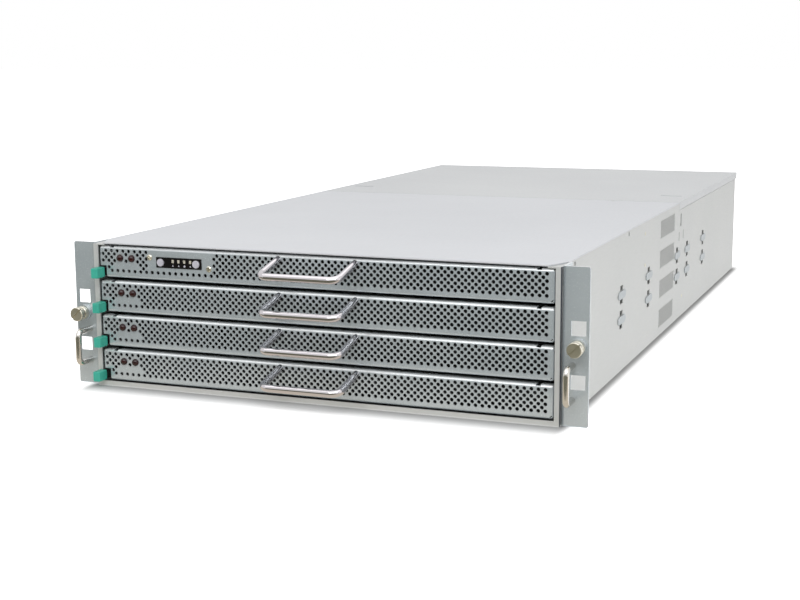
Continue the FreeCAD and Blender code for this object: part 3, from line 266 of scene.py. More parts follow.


# rolled steel, zinc plated: soft sheen, faint broad patches, a grain along the rolling, with a painted sheen on
# the pressed straps and painted shade beside the right ear
def zincPlatedSheet(name, pale, dull):
    material, tree = newMaterial(name)
    place = addNode(tree, "ShaderNodeTexCoord").outputs["Object"]
    patches = addNode(tree, "ShaderNodeTexNoise", {
        "Vector": place, "Scale": 1 / (zincLook["patch"] * mm), "Detail": 3.0,
    }).outputs["Fac"]
    stretched = addNode(tree, "ShaderNodeMapping", {
        "Vector": place, "Scale": [1 / (size * mm) for size in zincLook["grain"]],
    })
    grain = addNode(tree, "ShaderNodeTexNoise", {  # drawn coarse, the real grain is finer
        "Vector": stretched.outputs["Vector"], "Scale": 1.0, "Detail": 2.0,
    }).outputs["Fac"]
    share = addNode(tree, "ShaderNodeMapRange", {"Value": patches, **noiseSpan}).outputs["Result"]
    sheet = addNode(tree, "ShaderNodeMix", {
        0: share, 6: linear(pale), 7: linear(dull),
    }, data_type="RGBA").outputs[2]
    axes = addNode(tree, "ShaderNodeSeparateXYZ", {"Vector": place})
    outward = addNode(tree, "ShaderNodeMath", {0: axes.outputs["X"]}, operation="ABSOLUTE").outputs[0]
    strapSheenMask = addNode(tree, "ShaderNodeMath", {
        0: outward, 1: zincLook["strapFrom"] * mm,
    }, operation="GREATER_THAN").outputs[0]
    strapped = addNode(tree, "ShaderNodeMix", {  # painted sheen: the pressed straps get a darker, bluer tone than the wall for the way they catch the light
        0: strapSheenMask, 6: sheet, 7: linear(zincLook["strap"]),
    }, data_type="RGBA").outputs[2]
    shadeBesideEar = addNode(tree, "ShaderNodeMath", {
        0: axes.outputs["X"], 1: zincLook["jointShadeX"] * mm, 2: zincLook["jointShadeHalf"] * mm,
    }, operation="COMPARE").outputs[0]
    shadeInFront = addNode(tree, "ShaderNodeMath", {
        0: axes.outputs["Y"], 1: zincLook["jointShadeDepth"] * mm,
    }, operation="LESS_THAN").outputs[0]
    joint = addNode(tree, "ShaderNodeMath", {0: shadeBesideEar, 1: shadeInFront}, operation="MULTIPLY").outputs[0]
    colour = addNode(tree, "ShaderNodeMix", {  # painted shade: the step between the front hem and the right ear is darkened as if it lay in shadow
        0: joint, 6: strapped, 7: linear(zincLook["joint"]),
    }, data_type="RGBA").outputs[2]
    low, high = zincLook["rough"]
    rough = addNode(tree, "ShaderNodeMapRange", {
        "Value": grain, **noiseSpan, "To Min": low, "To Max": high,
    }).outputs["Result"]
    relief = addNode(tree, "ShaderNodeBump", {
        "Height": grain, "Strength": 1.0, "Distance": zincLook["relief"] * mm,
    }).outputs["Normal"]
    shader = addNode(tree, "ShaderNodeBsdfPrincipled", {
        "Base Color": colour, "Metallic": zincLook["metallic"], "Roughness": rough, "Normal": relief,
    })
    addNode(tree, "ShaderNodeOutputMaterial", {"Surface": shader.outputs["BSDF"]})
    return material


paintLook = {
    "pale": "#C4CCD0", "dull": "#BAC3C8", "patch": 45, "peel": 0.7, "relief": 0.008,
    "metallic": 0.4, "rough": (0.2, 0.28),
    # painted highlight: faces turned upwards are lightened towards this pale grey
    "upwardHighlight": "#E8EBEC", "highlightFrom": 0.15, "highlightTo": 0.5,
}


def silverGreyPaint():  # stoved silver-grey paint: satin, slightly green, with a fine orange peel, and a painted highlight on faces turned upwards
    material, tree = newMaterial("silverGreyPaint")
    place = addNode(tree, "ShaderNodeTexCoord").outputs["Object"]
    patches = addNode(tree, "ShaderNodeTexNoise", {
        "Vector": place, "Scale": 1 / (paintLook["patch"] * mm), "Detail": 3.0,
    }).outputs["Fac"]
    peel = addNode(tree, "ShaderNodeTexNoise", {
        "Vector": place, "Scale": 1 / (paintLook["peel"] * mm), "Detail": 2.0,
    }).outputs["Fac"]
    share = addNode(tree, "ShaderNodeMapRange", {"Value": patches, **noiseSpan}).outputs["Result"]
    sprayed = addNode(tree, "ShaderNodeMix", {
        0: share, 6: linear(paintLook["pale"]), 7: linear(paintLook["dull"]),
    }, data_type="RGBA").outputs[2]
    normal = addNode(tree, "ShaderNodeNewGeometry").outputs["Normal"]
    facing = addNode(tree, "ShaderNodeSeparateXYZ", {"Vector": normal})
    upward = addNode(tree, "ShaderNodeMapRange", {
        "Value": facing.outputs["Z"], "From Min": paintLook["highlightFrom"], "From Max": paintLook["highlightTo"],
    }).outputs["Result"]
    colour = addNode(tree, "ShaderNodeMix", {  # painted highlight: faces turned upwards, the upper folds above all, are lightened as if lit from above, a white line along each front
        0: upward, 6: sprayed, 7: linear(paintLook["upwardHighlight"]),
    }, data_type="RGBA").outputs[2]
    low, high = paintLook["rough"]
    rough = addNode(tree, "ShaderNodeMapRange", {
        "Value": peel, **noiseSpan, "To Min": low, "To Max": high,
    }).outputs["Result"]
    relief = addNode(tree, "ShaderNodeBump", {
        "Height": peel, "Strength": 1.0, "Distance": paintLook["relief"] * mm,
    }).outputs["Normal"]
    shader = addNode(tree, "ShaderNodeBsdfPrincipled", {
        "Base Color": colour, "Metallic": paintLook["metallic"], "Roughness": rough, "Normal": relief,
    })
    addNode(tree, "ShaderNodeOutputMaterial", {"Surface": shader.outputs["BSDF"]})
    return material


plateLook = {"marks": 6}


def platedMetal(name, hexColour, rough):  # plated bar, screw or strip: mirror-like, with faint handling marks
    material, tree = newMaterial(name)
    place = addNode(tree, "ShaderNodeTexCoord").outputs["Object"]
    marks = addNode(tree, "ShaderNodeTexNoise", {
        "Vector": place, "Scale": 1 / (plateLook["marks"] * mm), "Detail": 5.0,
    }).outputs["Fac"]
    low, high = rough
    marked = addNode(tree, "ShaderNodeMapRange", {
        "Value": marks, **noiseSpan, "To Min": low, "To Max": high,
    }).outputs["Result"]
    shader = addNode(tree, "ShaderNodeBsdfPrincipled", {
        "Base Color": linear(hexColour), "Metallic": 1.0, "Roughness": marked,
    })
    addNode(tree, "ShaderNodeOutputMaterial", {"Surface": shader.outputs["BSDF"]})
    return material


plasticLook = {"flow": 12, "darker": 0.86, "roughSpread": (0.85, 1.15), "ior": 1.5, "blackBehind": "#121212"}


# moulded or sprayed: an even tone with faint flow marks and a fine grit
def mouldedPlastic(name, hexColour, rough, grit, depth, gloss=0.5, darkBehind=None):
    material, tree = newMaterial(name)
    place = addNode(tree, "ShaderNodeTexCoord").outputs["Object"]
    texture = addNode(tree, "ShaderNodeTexNoise", {
        "Vector": place, "Scale": 1 / (grit * mm), "Detail": 2.0,
    }).outputs["Fac"]
    flow = addNode(tree, "ShaderNodeTexNoise", {
        "Vector": place, "Scale": 1 / (plasticLook["flow"] * mm), "Detail": 2.0,
    }).outputs["Fac"]
    share = addNode(tree, "ShaderNodeMapRange", {"Value": flow, **noiseSpan}).outputs["Result"]
    base = linear(hexColour)
    darker = [c * plasticLook["darker"] for c in base[:3]] + [1.0]
    colour = addNode(tree, "ShaderNodeMix", {0: share, 6: base, 7: darker}, data_type="RGBA").outputs[2]
    if darkBehind is not None:  # the part of the piece that lies behind this Y is coloured black, so it stays dark through the punched holes
        axes = addNode(tree, "ShaderNodeSeparateXYZ", {"Vector": place})
        behind = addNode(tree, "ShaderNodeMath", {
            0: axes.outputs["Y"], 1: darkBehind * mm,
        }, operation="GREATER_THAN")
        colour = addNode(tree, "ShaderNodeMix", {
            0: behind.outputs[0], 6: colour, 7: linear(plasticLook["blackBehind"]),
        }, data_type="RGBA").outputs[2]
    low, high = plasticLook["roughSpread"]
    spread = addNode(tree, "ShaderNodeMapRange", {
        "Value": texture, **noiseSpan, "To Min": rough * low, "To Max": rough * high,
    }).outputs["Result"]
    relief = addNode(tree, "ShaderNodeBump", {
        "Height": texture, "Strength": 1.0, "Distance": depth * mm,
    }).outputs["Normal"]
    shader = addNode(tree, "ShaderNodeBsdfPrincipled", {
        "Base Color": colour, "IOR": plasticLook["ior"], "Specular IOR Level": gloss, "Roughness": spread,
        "Normal": relief,
    })
    addNode(tree, "ShaderNodeOutputMaterial", {"Surface": shader.outputs["BSDF"]})
    return material


lensLook = {"body": "#140203", "cloud": "#3C0A0C", "cloudSize": 3, "ior": 1.53, "gloss": 0.4, "rough": 0.07}


def redLens():  # clear red epoxy, unlit: a dark body, cloudier towards the die, under a polished skin
    material, tree = newMaterial("redEpoxyLens")
    place = addNode(tree, "ShaderNodeTexCoord").outputs["Object"]
    cloud = addNode(tree, "ShaderNodeTexNoise", {
        "Vector": place, "Scale": 1 / (lensLook["cloudSize"] * mm), "Detail": 1.0,
    }).outputs["Fac"]
    colour = addNode(tree, "ShaderNodeMix", {
        0: cloud, 6: linear(lensLook["body"]), 7: linear(lensLook["cloud"]),
    }, data_type="RGBA").outputs[2]
    shader = addNode(tree, "ShaderNodeBsdfPrincipled", {
        "Base Color": colour, "IOR": lensLook["ior"], "Specular IOR Level": lensLook["gloss"],
        "Roughness": lensLook["rough"],
    })
    addNode(tree, "ShaderNodeOutputMaterial", {"Surface": shader.outputs["BSDF"]})
    return material


boardLook = {
    "mask": ("#1E5A38", "#1A5032"), "trace": "#2E7A4C", "pitch": 11, "traceShare": 0.03, "traceSoft": 0.2,
    "rough": 0.38, "ior": 1.5,
}


def circuitBoard():  # green solder mask over copper: square traces some 11 mm apart
    material, tree = newMaterial("greenSolderMask")
    place = addNode(tree, "ShaderNodeTexCoord").outputs["Object"]
    first, second = boardLook["mask"]
    traces = addNode(tree, "ShaderNodeTexBrick", {
        "Vector": place, "Scale": 1 / (boardLook["pitch"] * mm),
        "Mortar Size": boardLook["traceShare"], "Mortar Smooth": boardLook["traceSoft"],
        "Color1": linear(first), "Color2": linear(second), "Mortar": linear(boardLook["trace"]),
    })
    shader = addNode(tree, "ShaderNodeBsdfPrincipled", {
        "Base Color": traces.outputs["Color"], "Roughness": boardLook["rough"], "IOR": boardLook["ior"],
    })
    addNode(tree, "ShaderNodeOutputMaterial", {"Surface": shader.outputs["BSDF"]})
    return material


driveLook = {
    "side": "#2B2D2F", "lid": "#A9ACAE", "lidFrom": 0.6, "grain": 1.2, "relief": 0.02,
    "metallic": 0.6, "rough": (0.35, 0.5),
}


def castAluminium():  # drive cases: dark cast sides under a bright stamped lid
    material, tree = newMaterial("castAluminium")
    facing = addNode(tree, "ShaderNodeNewGeometry").outputs["Normal"]
    upward = addNode(tree, "ShaderNodeSeparateXYZ", {"Vector": facing}).outputs["Z"]
    lid = addNode(tree, "ShaderNodeMath", {
        0: upward, 1: driveLook["lidFrom"],
    }, operation="GREATER_THAN").outputs[0]
    place = addNode(tree, "ShaderNodeTexCoord").outputs["Object"]
    grain = addNode(tree, "ShaderNodeTexNoise", {
        "Vector": place, "Scale": 1 / (driveLook["grain"] * mm), "Detail": 3.0,
    }).outputs["Fac"]
    colour = addNode(tree, "ShaderNodeMix", {
        0: lid, 6: linear(driveLook["side"]), 7: linear(driveLook["lid"]),
    }, data_type="RGBA").outputs[2]
    low, high = driveLook["rough"]
    rough = addNode(tree, "ShaderNodeMapRange", {
        "Value": grain, **noiseSpan, "To Min": low, "To Max": high,
    }).outputs["Result"]
    relief = addNode(tree, "ShaderNodeBump", {
        "Height": grain, "Strength": 1.0, "Distance": driveLook["relief"] * mm,
    }).outputs["Normal"]
    shader = addNode(tree, "ShaderNodeBsdfPrincipled", {
        "Base Color": colour, "Metallic": driveLook["metallic"], "Roughness": rough, "Normal": relief,
    })
    addNode(tree, "ShaderNodeOutputMaterial", {"Surface": shader.outputs["BSDF"]})
    return material


finLook = {
    "colour": "#C2C5C8", "dieLines": (0.8, 30, 0.8), "relief": 0.01, "metallic": 0.9, "rough": (0.25, 0.4),
}


def extrudedAluminium():  # heatsink fins, with die lines along the extrusion
    material, tree = newMaterial("extrudedAluminium")
    place = addNode(tree, "ShaderNodeTexCoord").outputs["Object"]
    stretched = addNode(tree, "ShaderNodeMapping", {
        "Vector": place, "Scale": [1 / (size * mm) for size in finLook["dieLines"]],
    })
    lines = addNode(tree, "ShaderNodeTexNoise", {
        "Vector": stretched.outputs["Vector"], "Scale": 1.0, "Detail": 2.0,
    }).outputs["Fac"]
    low, high = finLook["rough"]
    rough = addNode(tree, "ShaderNodeMapRange", {
        "Value": lines, **noiseSpan, "To Min": low, "To Max": high,
    }).outputs["Result"]
    relief = addNode(tree, "ShaderNodeBump", {
        "Height": lines, "Strength": 1.0, "Distance": finLook["relief"] * mm,
    }).outputs["Normal"]
    shader = addNode(tree, "ShaderNodeBsdfPrincipled", {
        "Base Color": linear(finLook["colour"]), "Metallic": finLook["metallic"], "Roughness": rough,
        "Normal": relief,
    })
    addNode(tree, "ShaderNodeOutputMaterial", {"Surface": shader.outputs["BSDF"]})
    return material


zinc = zincPlatedSheet("zincPlatedSheet", "#CDCECC", "#C6C8C6")
panelZinc = zincPlatedSheet("frontPanelZinc", "#D6D8DC", "#D0D2D6")
coverZinc = zincPlatedSheet("rearCoverZinc", "#D1D3D4", "#CACCCE")
paint = silverGreyPaint()
chrome = platedMetal("chromePlate", "#CBC7CA", rough=(0.06, 0.12))
satinChrome = platedMetal("satinChromePlate", "#D0CDC8", rough=(0.16, 0.24))
nickel = platedMetal("nickelPlate", "#DAD6C8", rough=(0.28, 0.4))
slideSteel = platedMetal("brightZincSteel", "#B9BCBD", rough=(0.28, 0.38))
bracketSteel = platedMetal("nickelPlatedSteel", "#BFC1C1", rough=(0.25, 0.35))
psuSteel = platedMetal("satinAluminium", "#B4B7B9", rough=(0.3, 0.42))
# painted shade: the sheet inside the chassis in this finish is made black, standing for the shade seen through
# the punched holes and slots
shadeBlackSheet = mouldedPlastic("blackSheetForShade", "#121314", rough=0.55, grit=0.8, depth=0.01, gloss=0.3)
greenAbs = mouldedPlastic("greenAbs", "#40B9A2", rough=0.42, grit=0.5, depth=0.01, gloss=0.4, darkBehind=-5.6)
blackAbs = mouldedPlastic("blackGlassFibreNylon", "#1B1B1D", rough=0.55, grit=0.6, depth=0.015, gloss=0.4)
panelGloss = mouldedPlastic("blackAcrylic", "#131113", rough=0.2, grit=4.0, depth=0.0, gloss=0.25)
greyButton = mouldedPlastic("greyAbs", "#C9C7D0", rough=0.35, grit=0.5, depth=0.006)
clearLens = mouldedPlastic("clearPolycarbonate", "#C9C4B4", rough=0.2, grit=2.0, depth=0.0)
lens = redLens()
board = circuitBoard()
drive = castAluminium()
fins = extrudedAluminium()

finishOfSlot = {
    "zinc_sheet": zinc, "black_sheet": shadeBlackSheet, "front_sheet": paint, "chrome_bar": chrome,
    "nickel_screw": nickel, "slide_steel": slideSteel, "circuit_board": board, "drive_case": drive,
    "heatsink": fins, "fan_plastic": blackAbs, "bracket_steel": bracketSteel, "psu_case": psuSteel,
    "bolt_green": greenAbs, "fault_lens": lens, "panel_black": panelGloss, "button_grey": greyButton,
    "status_lens": clearLens,
}
finishOfNode = {"front_top_panel": panelZinc, "rear_top_cover": coverZinc}
for subpart in frame["record"]["subparts"]:
    node = nodes[subpart["node"]]
    node.data.materials.clear()
    node.data.materials.append(finishOfNode.get(subpart["node"], finishOfSlot[subpart["material_slot"]]))
print("materials on the CAD nodes")


# Punched drawer fronts

frontPan = {
    "sheet": 1.2, "corner": 2.6, "fold": 2.4, "segments": 4,
    "relief": (198.0, 202.0, 1.3),  # X from and to, and depth, of the nicks in the upper fold
    "notch": (7.5, 10.6),  # width and height of the opening for the slide bolt's tab
    "slit": (0.7, 2.4, 2.3),  # width, length and distance in from the lower right corner
    "cutAhead": 2.0, "cutInto": 4.0,  # how far cutters stand in front of the face and go in behind it
}
punching = {
    "pitch": 5.98, "rowStep": 3.0, "rows": 7, "lowest": 6.3, "diameter": 3.35, "columns": 70, "sides": 12,
    "through": 5.0,
}
faultLights = {
    "x": (-191.4, -179.4), "rise": 18.0, "diameter": 6.6, "stand": 3.2, "back": 5.5, "round": 3.1,
    "clear": 0.05, "sides": 24, "segments": 6, "smooth": 50,
}
panelWindow = {"x": -130.8, "rise": 16.0, "width": 45.8, "height": 9.5}
keepers = {"x": (-199.5, -187.5), "width": 5.0, "rise": 8.3, "lip": 3.0, "reach": 3.3, "root": 0.2}
unpunched = {  # X from the middle and rise above the drawer's bottom
    "lightRadius": 4.9, "printX": (-198.5, -172.5), "printRise": (7.5, 13.0),
    "notchX": -205.0, "notchRise": 13.0, "panelX": (-163.0, -96.5), "panelRise": 7.5,
}


def punchAllowed(x, rise, topDrawer):
    toLight = min(math.hypot(x - lightX, rise - faultLights["rise"]) for lightX in faultLights["x"])
    nearLight = toLight < unpunched["lightRadius"]
    left, right = unpunched["printX"]
    low, high = unpunched["printRise"]
    onPrint = left < x < right and low < rise < high
    nearNotch = x < unpunched["notchX"] and rise < unpunched["notchRise"]
    left, right = unpunched["panelX"]
    onPanel = topDrawer and left < x < right and rise > unpunched["panelRise"]
    return not (nearLight or onPrint or nearNotch or onPanel)


def punches(bottom, topDrawer):
    lightRadius = faultLights["diameter"] / 2 + faultLights["clear"]
    bores = [(x, faultLights["rise"], lightRadius, faultLights["sides"]) for x in faultLights["x"]]
    for row in range(punching["rows"]):
        rise = punching["lowest"] + row * punching["rowStep"]
        for i in range(punching["columns"]):
            x = (i - punching["columns"] / 2 + (0.5 if row % 2 == 0 else 0)) * punching["pitch"]
            if punchAllowed(x, rise, topDrawer):
                bores.append((x, rise, punching["diameter"] / 2, punching["sides"]))
    onFace = [((x * mm, faceY, bottom + rise * mm), radius, sides) for x, rise, radius, sides in bores]
    return boreCutters(onFace, punching["through"], (math.pi / 2, 0, 0))


def keeperHooks(low):  # hooks behind the face that hold the slide bolt
    sheet, half = frontPan["sheet"], keepers["width"] / 2
    back = low.y + sheet
    tip = back + keepers["reach"]
    foot = low.z + keepers["rise"]
    hooks = []
    for x in keepers["x"]:
        hooks.append(block((x - half, back - keepers["root"], foot), (x + half, tip, foot + sheet)))
        hooks.append(block((x - half, tip - sheet, foot - keepers["lip"]), (x + half, tip, foot)))
    return hooks


def punchedFront(number):
    low, high = (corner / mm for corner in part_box(f"drawer_{number}_front"))
    pan = block(low, high)
    pick(pan, "FACE", lambda f: f.normal.y > square)
    bpy.ops.mesh.delete(type="FACE")
    pick(pan, "EDGE", lambda e: abs(middle(e).x) > high.x - near and low.y + near < middle(e).y < high.y - near)
    bevelPicked(frontPan["corner"], frontPan["segments"])
    pick(pan, "EDGE", lambda e: all(v.co.y < (low.y + near) * mm for v in e.verts))
    bevelPicked(frontPan["fold"], frontPan["segments"])
    applyModifier(pan, "SOLIDIFY", thickness=frontPan["sheet"] * mm, offset=-1.0, use_even_offset=True)
    x0, x1, depth = frontPan["relief"]
    wide, tall = frontPan["notch"]
    thin, long, inset = frontPan["slit"]
    front, back = low.y - frontPan["cutAhead"], high.y + overrun
    into = frontPan["cutInto"]
    cuts = [
        block((x0, front, high.z - depth), (x1, back, high.z + overrun)),
        block((-x1, front, high.z - depth), (-x0, back, high.z + overrun)),
        block((low.x - overrun, front, low.z - overrun), (low.x + wide, back, low.z + tall)),
        placed(block((-thin / 2, -frontPan["cutAhead"], -long / 2), (thin / 2, into, long / 2)),
               (0, math.pi / 4, 0), (high.x - inset, low.y, low.z + inset)),
    ]
    if number == 1:
        x, half = panelWindow["x"], panelWindow["width"] / 2
        centre, up = low.z + panelWindow["rise"], panelWindow["height"] / 2
        cuts.append(block((x - half, front, centre - up), (x + half, low.y + into, centre + up)))
    cutAway(pan, joined([punches(low.z * mm, number == 1)] + cuts))
    return joined([pan] + keeperHooks(low))


settleDrawers(punchedFront(1), drawerNumbers[:1], "punchedFront", paint, "front")
settleDrawers(punchedFront(2), drawerNumbers[1:], "punchedFront", paint, "front")
print("punched drawer fronts")


# Fault lights

def faultLightPair():
    back = faceY / mm + faultLights["back"]
    tip = faceY / mm - faultLights["stand"]
    radius = faultLights["diameter"] / 2
    domes = []
    for x in faultLights["x"]:
        rise = topBottom + faultLights["rise"]
        dome = turned(x, rise, [(back, radius), (tip, radius)], faultLights["sides"])
        pick(dome, "EDGE", lambda e: all(v.co.y < (tip + near) * mm for v in e.verts))
        bevelPicked(faultLights["round"], faultLights["segments"])
        domes.append(dome)
    return joined(domes)


settleDrawers(faultLightPair(), drawerNumbers, "faultLights", lens, "leds", faultLights["smooth"])
print("fault lights")


# Bow handles

roundBar = {"sides": 24, "bendSteps": 9, "smooth": 60}
drawerBow = {
    "x": 3.0, "halfSpan": 36.0, "reach": 38.0, "foot": 24.0, "bar": 15.0, "bend": 8.0, "diameter": 6.5,
    "root": 0.9,  # how far the ends go into the front's sheet
}
earBow = {
    "x": 227.75, "legs": (22.6, 51.4), "faceY": -2.0, "reach": 20.0, "bend": 5.2, "diameter": 5.6,
    "root": 0.9,
}


def bowBar(corners, bend, diameter):  # round bar through four corners, drawn out leg by leg and spun at each bend
    corners = [Vector(c) * mm for c in corners]
    run = (corners[1] - corners[0]).normalized()
    bar = barEnd(roundBar["sides"], diameter / 2, corners[0], run.to_track_quat("Z", "Y").to_euler())
    here = corners[0]
    for corner, after in zip(corners[1:3], corners[2:4]):
        run = (corner - here).normalized()
        turn = (after - corner).normalized()
        bendStart = corner - run * bend * mm
        bpy.ops.mesh.extrude_region_move(TRANSFORM_OT_translate={"value": bendStart - here})
        bpy.ops.mesh.spin(
            steps=roundBar["bendSteps"], angle=-math.pi / 2, center=bendStart + turn * bend * mm,
            axis=run.cross(turn),
        )
        here = corner + turn * bend * mm
    bpy.ops.mesh.extrude_region_move(TRANSFORM_OT_translate={"value": corners[3] - here})
    outwards(bar)
    return bar


def drawerBowBar():
    half = drawerBow["halfSpan"]
    left, right = drawerBow["x"] - half, drawerBow["x"] + half
    foot = Vector((0, faceY / mm, topBottom + drawerBow["foot"]))
    grip = Vector((0, faceY / mm - drawerBow["reach"], topBottom + drawerBow["bar"]))
    root = foot + (foot - grip).normalized() * drawerBow["root"]
    corners = [(right, *root[1:]), (right, *grip[1:]), (left, *grip[1:]), (left, *root[1:])]
    return bowBar(corners, drawerBow["bend"], drawerBow["diameter"])


def earBowBar(side):
    x = side * earBow["x"]
    low, high = earBow["legs"]
    back = earBow["faceY"] + earBow["root"]
    front = earBow["faceY"] - earBow["reach"]
    corners = [(x, back, low), (x, front, low), (x, front, high), (x, back, high)]
    return bowBar(corners, earBow["bend"], earBow["diameter"])


smooth = roundBar["smooth"]
settleDrawers(drawerBowBar(), drawerNumbers, "bowHandle", chrome, "handle", smooth)
earBows = joined([earBowBar(side) for side in (-1, 1)])
settle(earBows, "earBows", "chassis", satinChrome, ["ear_handles"], smooth)
print("bow handles")


# Thumbscrews

thumbscrew = {
    "x": 232.55, "z": 66.7, "sides": 48, "head": 6.5, "rim": (-16.6, -11.7), "knurl": 0.25,
    "slot": (1.4, 1.6), "slotReach": 8.0, "slotTurn": -0.8,
    "profile": [
        (10.0, 1.9), (9.4, 2.4), (0.5, 2.4), (0.5, 3.0), (-5.4, 3.0), (-5.4, 5.6), (-5.8, 6.1), (-9.5, 6.1),
        (-9.9, 5.7), (-9.9, 4.8), (-11.5, 4.8), (-11.5, 6.1), (-11.9, 6.5), (-16.4, 6.5), (-17.0, 5.9),
    ],
}


def knurledScrew(side):
    x, z = side * thumbscrew["x"], thumbscrew["z"]
    screw = turned(x, z, thumbscrew["profile"], thumbscrew["sides"])
    step = 2 * math.pi / thumbscrew["sides"]
    front, back = thumbscrew["rim"]

    def groove(v):  # every other edge of the head's rim
        away = Vector((v.co.x / mm - x, v.co.z / mm - z))
        turnCount = round(math.atan2(away.y, away.x) / step)
        return front < v.co.y / mm < back and away.length > thumbscrew["head"] - near and turnCount % 2 == 0

    pick(screw, "VERT", groove)
    share = 1 - thumbscrew["knurl"] / thumbscrew["head"]
    bpy.ops.transform.resize(value=(share, 1, share), center_override=(x * mm, 0, z * mm))
    bpy.ops.object.mode_set(mode="OBJECT")
    width, depth = thumbscrew["slot"]
    reach, face = thumbscrew["slotReach"], thumbscrew["profile"][-1][0]
    cutter = block((-reach, -overrun, -width / 2), (reach, depth, width / 2))
    cutAway(screw, placed(cutter, (0, thumbscrew["slotTurn"], 0), (x, face, z)))
    return screw


for side, word in ((-1, "left"), (1, "right")):
    standsFor = [f"{word}_thumbscrew"]
    settle(knurledScrew(side), f"{word}KnurledScrew", f"{word}_screw", nickel, standsFor)
print("thumbscrews")


# Printed marks on the control panel

panelMarks = {"corners": (3, 3, 16, 3), "radius": 1.0, "drop": 4.0, "proud": 0.05, "root": 0.3, "lightShape": 2.6}


def printedMarks():  # plain signs under the status lights
    low, high = (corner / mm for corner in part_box("panel_leds"))
    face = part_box("control_panel")[0].y / mm
    last = len(panelMarks["corners"]) - 1
    halfLight = (high.z - low.z) / panelMarks["lightShape"]
    radius, height = panelMarks["radius"], (low.z + high.z) / 2 - panelMarks["drop"]
    profile = [(face + panelMarks["root"], radius), (face - panelMarks["proud"], radius)]
    marks = []
    for i, corners in enumerate(panelMarks["corners"]):
        x = low.x + halfLight + (high.x - low.x - 2 * halfLight) * i / last
        marks.append(turned(x, height, profile, corners))
    return joined(marks)


settle(printedMarks(), "panelMarks", "drawer_1", greyButton)
print("panel marks")


# Vent screens

ventScreen = {
    "sheet": 1.2, "pitch": 4.16, "rowStep": 2.08, "diameter": 2.7, "sides": 8, "rim": 0.4, "through": 4.0,
}


def ventScreens():
    low, high = (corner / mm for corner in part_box("side_vent_screens"))
    tall = high.z - low.z - (len(drawerNumbers) - 1) * drawerPitch / mm
    inner = high.x - ventScreen["sheet"]
    plate = block((inner, low.y, low.z), (high.x, high.y, low.z + tall))
    margin = 2 * ventScreen["rim"] + ventScreen["diameter"]
    rows = int((tall - margin) / ventScreen["rowStep"]) + 1
    count = int((high.y - low.y - margin) / ventScreen["pitch"]) + 1
    startY = (low.y + high.y) / 2 - (count - 1) * ventScreen["pitch"] / 2
    startZ = low.z + tall / 2 - (rows - 1) * ventScreen["rowStep"] / 2
    bores = []
    for row in range(rows):
        z = startZ + row * ventScreen["rowStep"]
        for i in range(count - row % 2):
            y = startY + (i + (row % 2) / 2) * ventScreen["pitch"]
            bores.append(((high.x * mm, y * mm, z * mm), ventScreen["diameter"] / 2, ventScreen["sides"]))
    cutAway(plate, boreCutters(bores, ventScreen["through"], (0, math.pi / 2, 0)))
    screens = []
    for level in range(len(drawerNumbers)):
        rise = level * drawerPitch
        screens.append(copied(plate, (-(high.x + inner) * mm, 0, rise)))
        if level:
            screens.append(copied(plate, (0, 0, rise)))
    return joined([plate] + screens)


settle(ventScreens(), "ventScreens", "chassis", zinc, ["side_vent_screens"])
print("vent screens")


# Small screws and rivets

screwHead = {  # shares of the head's radius and height, and the shank's length
    "sides": 20, "root": 0.6, "shank": 0.6, "shoulder": 0.5, "crown": 0.72,
    "slotReach": 0.8, "slotHalf": 0.14, "slotFloor": 0.45,
}
smallScrews = {
    "panel": {  # at X and rise above the top drawer's bottom, each slot a radian further round than the last
        "radius": 2.6, "height": 1.2, "slotTurn": 0.7, "at": [(-160.6, 19.9), (-100.8, 12.3)],
    },
    "cover": {"radius": 2.4, "height": 0.5, "at": [(144.0, 493.0)]},  # at X and Y, let in flush with the top
    "side": {  # at Y and Z on both side walls
        "radius": 1.9, "height": 0.5, "at": [(315.0, 119.6), (317.0, 87.3), (525.0, 22.4)],
    },
    "rear": {  # at X and Z on the rear panel
        "radius": 2.8, "height": 1.4, "slotTurn": 0.4,
        "at": [(-210.0, 12.0), (-210.0, 118.0), (112.0, 122.0), (212.0, 12.0), (-45.0, 122.0)],
    },
}


def slottedScrew(radius, height):  # head at the origin, facing -Y
    shank = radius * screwHead["shank"]
    screw = turned(0, 0, [
        (screwHead["root"], shank), (0, shank), (0, radius),
        (-height * screwHead["shoulder"], radius), (-height, radius * screwHead["crown"]),
    ], screwHead["sides"])
    reach, half = radius * screwHead["slotReach"], radius * screwHead["slotHalf"]
    cutAway(screw, block((-reach, -height - overrun, -half), (reach, -height * screwHead["slotFloor"], half)))
    return screw


def screwGroup(head, stands):  # one screw for each turn and place
    return joined([placed(slottedScrew(head["radius"], head["height"]), turn, place) for turn, place in stands])


head = smallScrews["panel"]
panelScrews = screwGroup(head, [
    ((0, head["slotTurn"] + i, 0), (x, faceY / mm, topBottom + rise)) for i, (x, rise) in enumerate(head["at"])
])
settle(panelScrews, "panelScrews", "drawer_1", nickel)
head = smallScrews["cover"]
coverTop = cadHigh.z / mm
coverScrews = screwGroup(head, [
    ((-math.pi / 2, 0, 0), (x, y, coverTop - head["height"])) for x, y in head["at"]
])
settle(coverScrews, "coverScrews", "chassis", nickel)
head = smallScrews["side"]
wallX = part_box("side_vent_screens")[1].x / mm
wallScrews = screwGroup(head, [
    ((0, 0, side * math.pi / 2), (side * wallX, y, z)) for y, z in head["at"] for side in (-1, 1)
])
settle(wallScrews, "wallScrews", "chassis", nickel)
head = smallScrews["rear"]
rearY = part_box("rear_panel")[1].y / mm
rearScrews = screwGroup(head, [
    ((0, head["slotTurn"] + i, math.pi), (x, rearY, z)) for i, (x, z) in enumerate(head["at"])
])
settle(rearScrews, "rearScrews", "chassis", nickel)
print("small screws")


# Mains inlets and connector inserts at the back

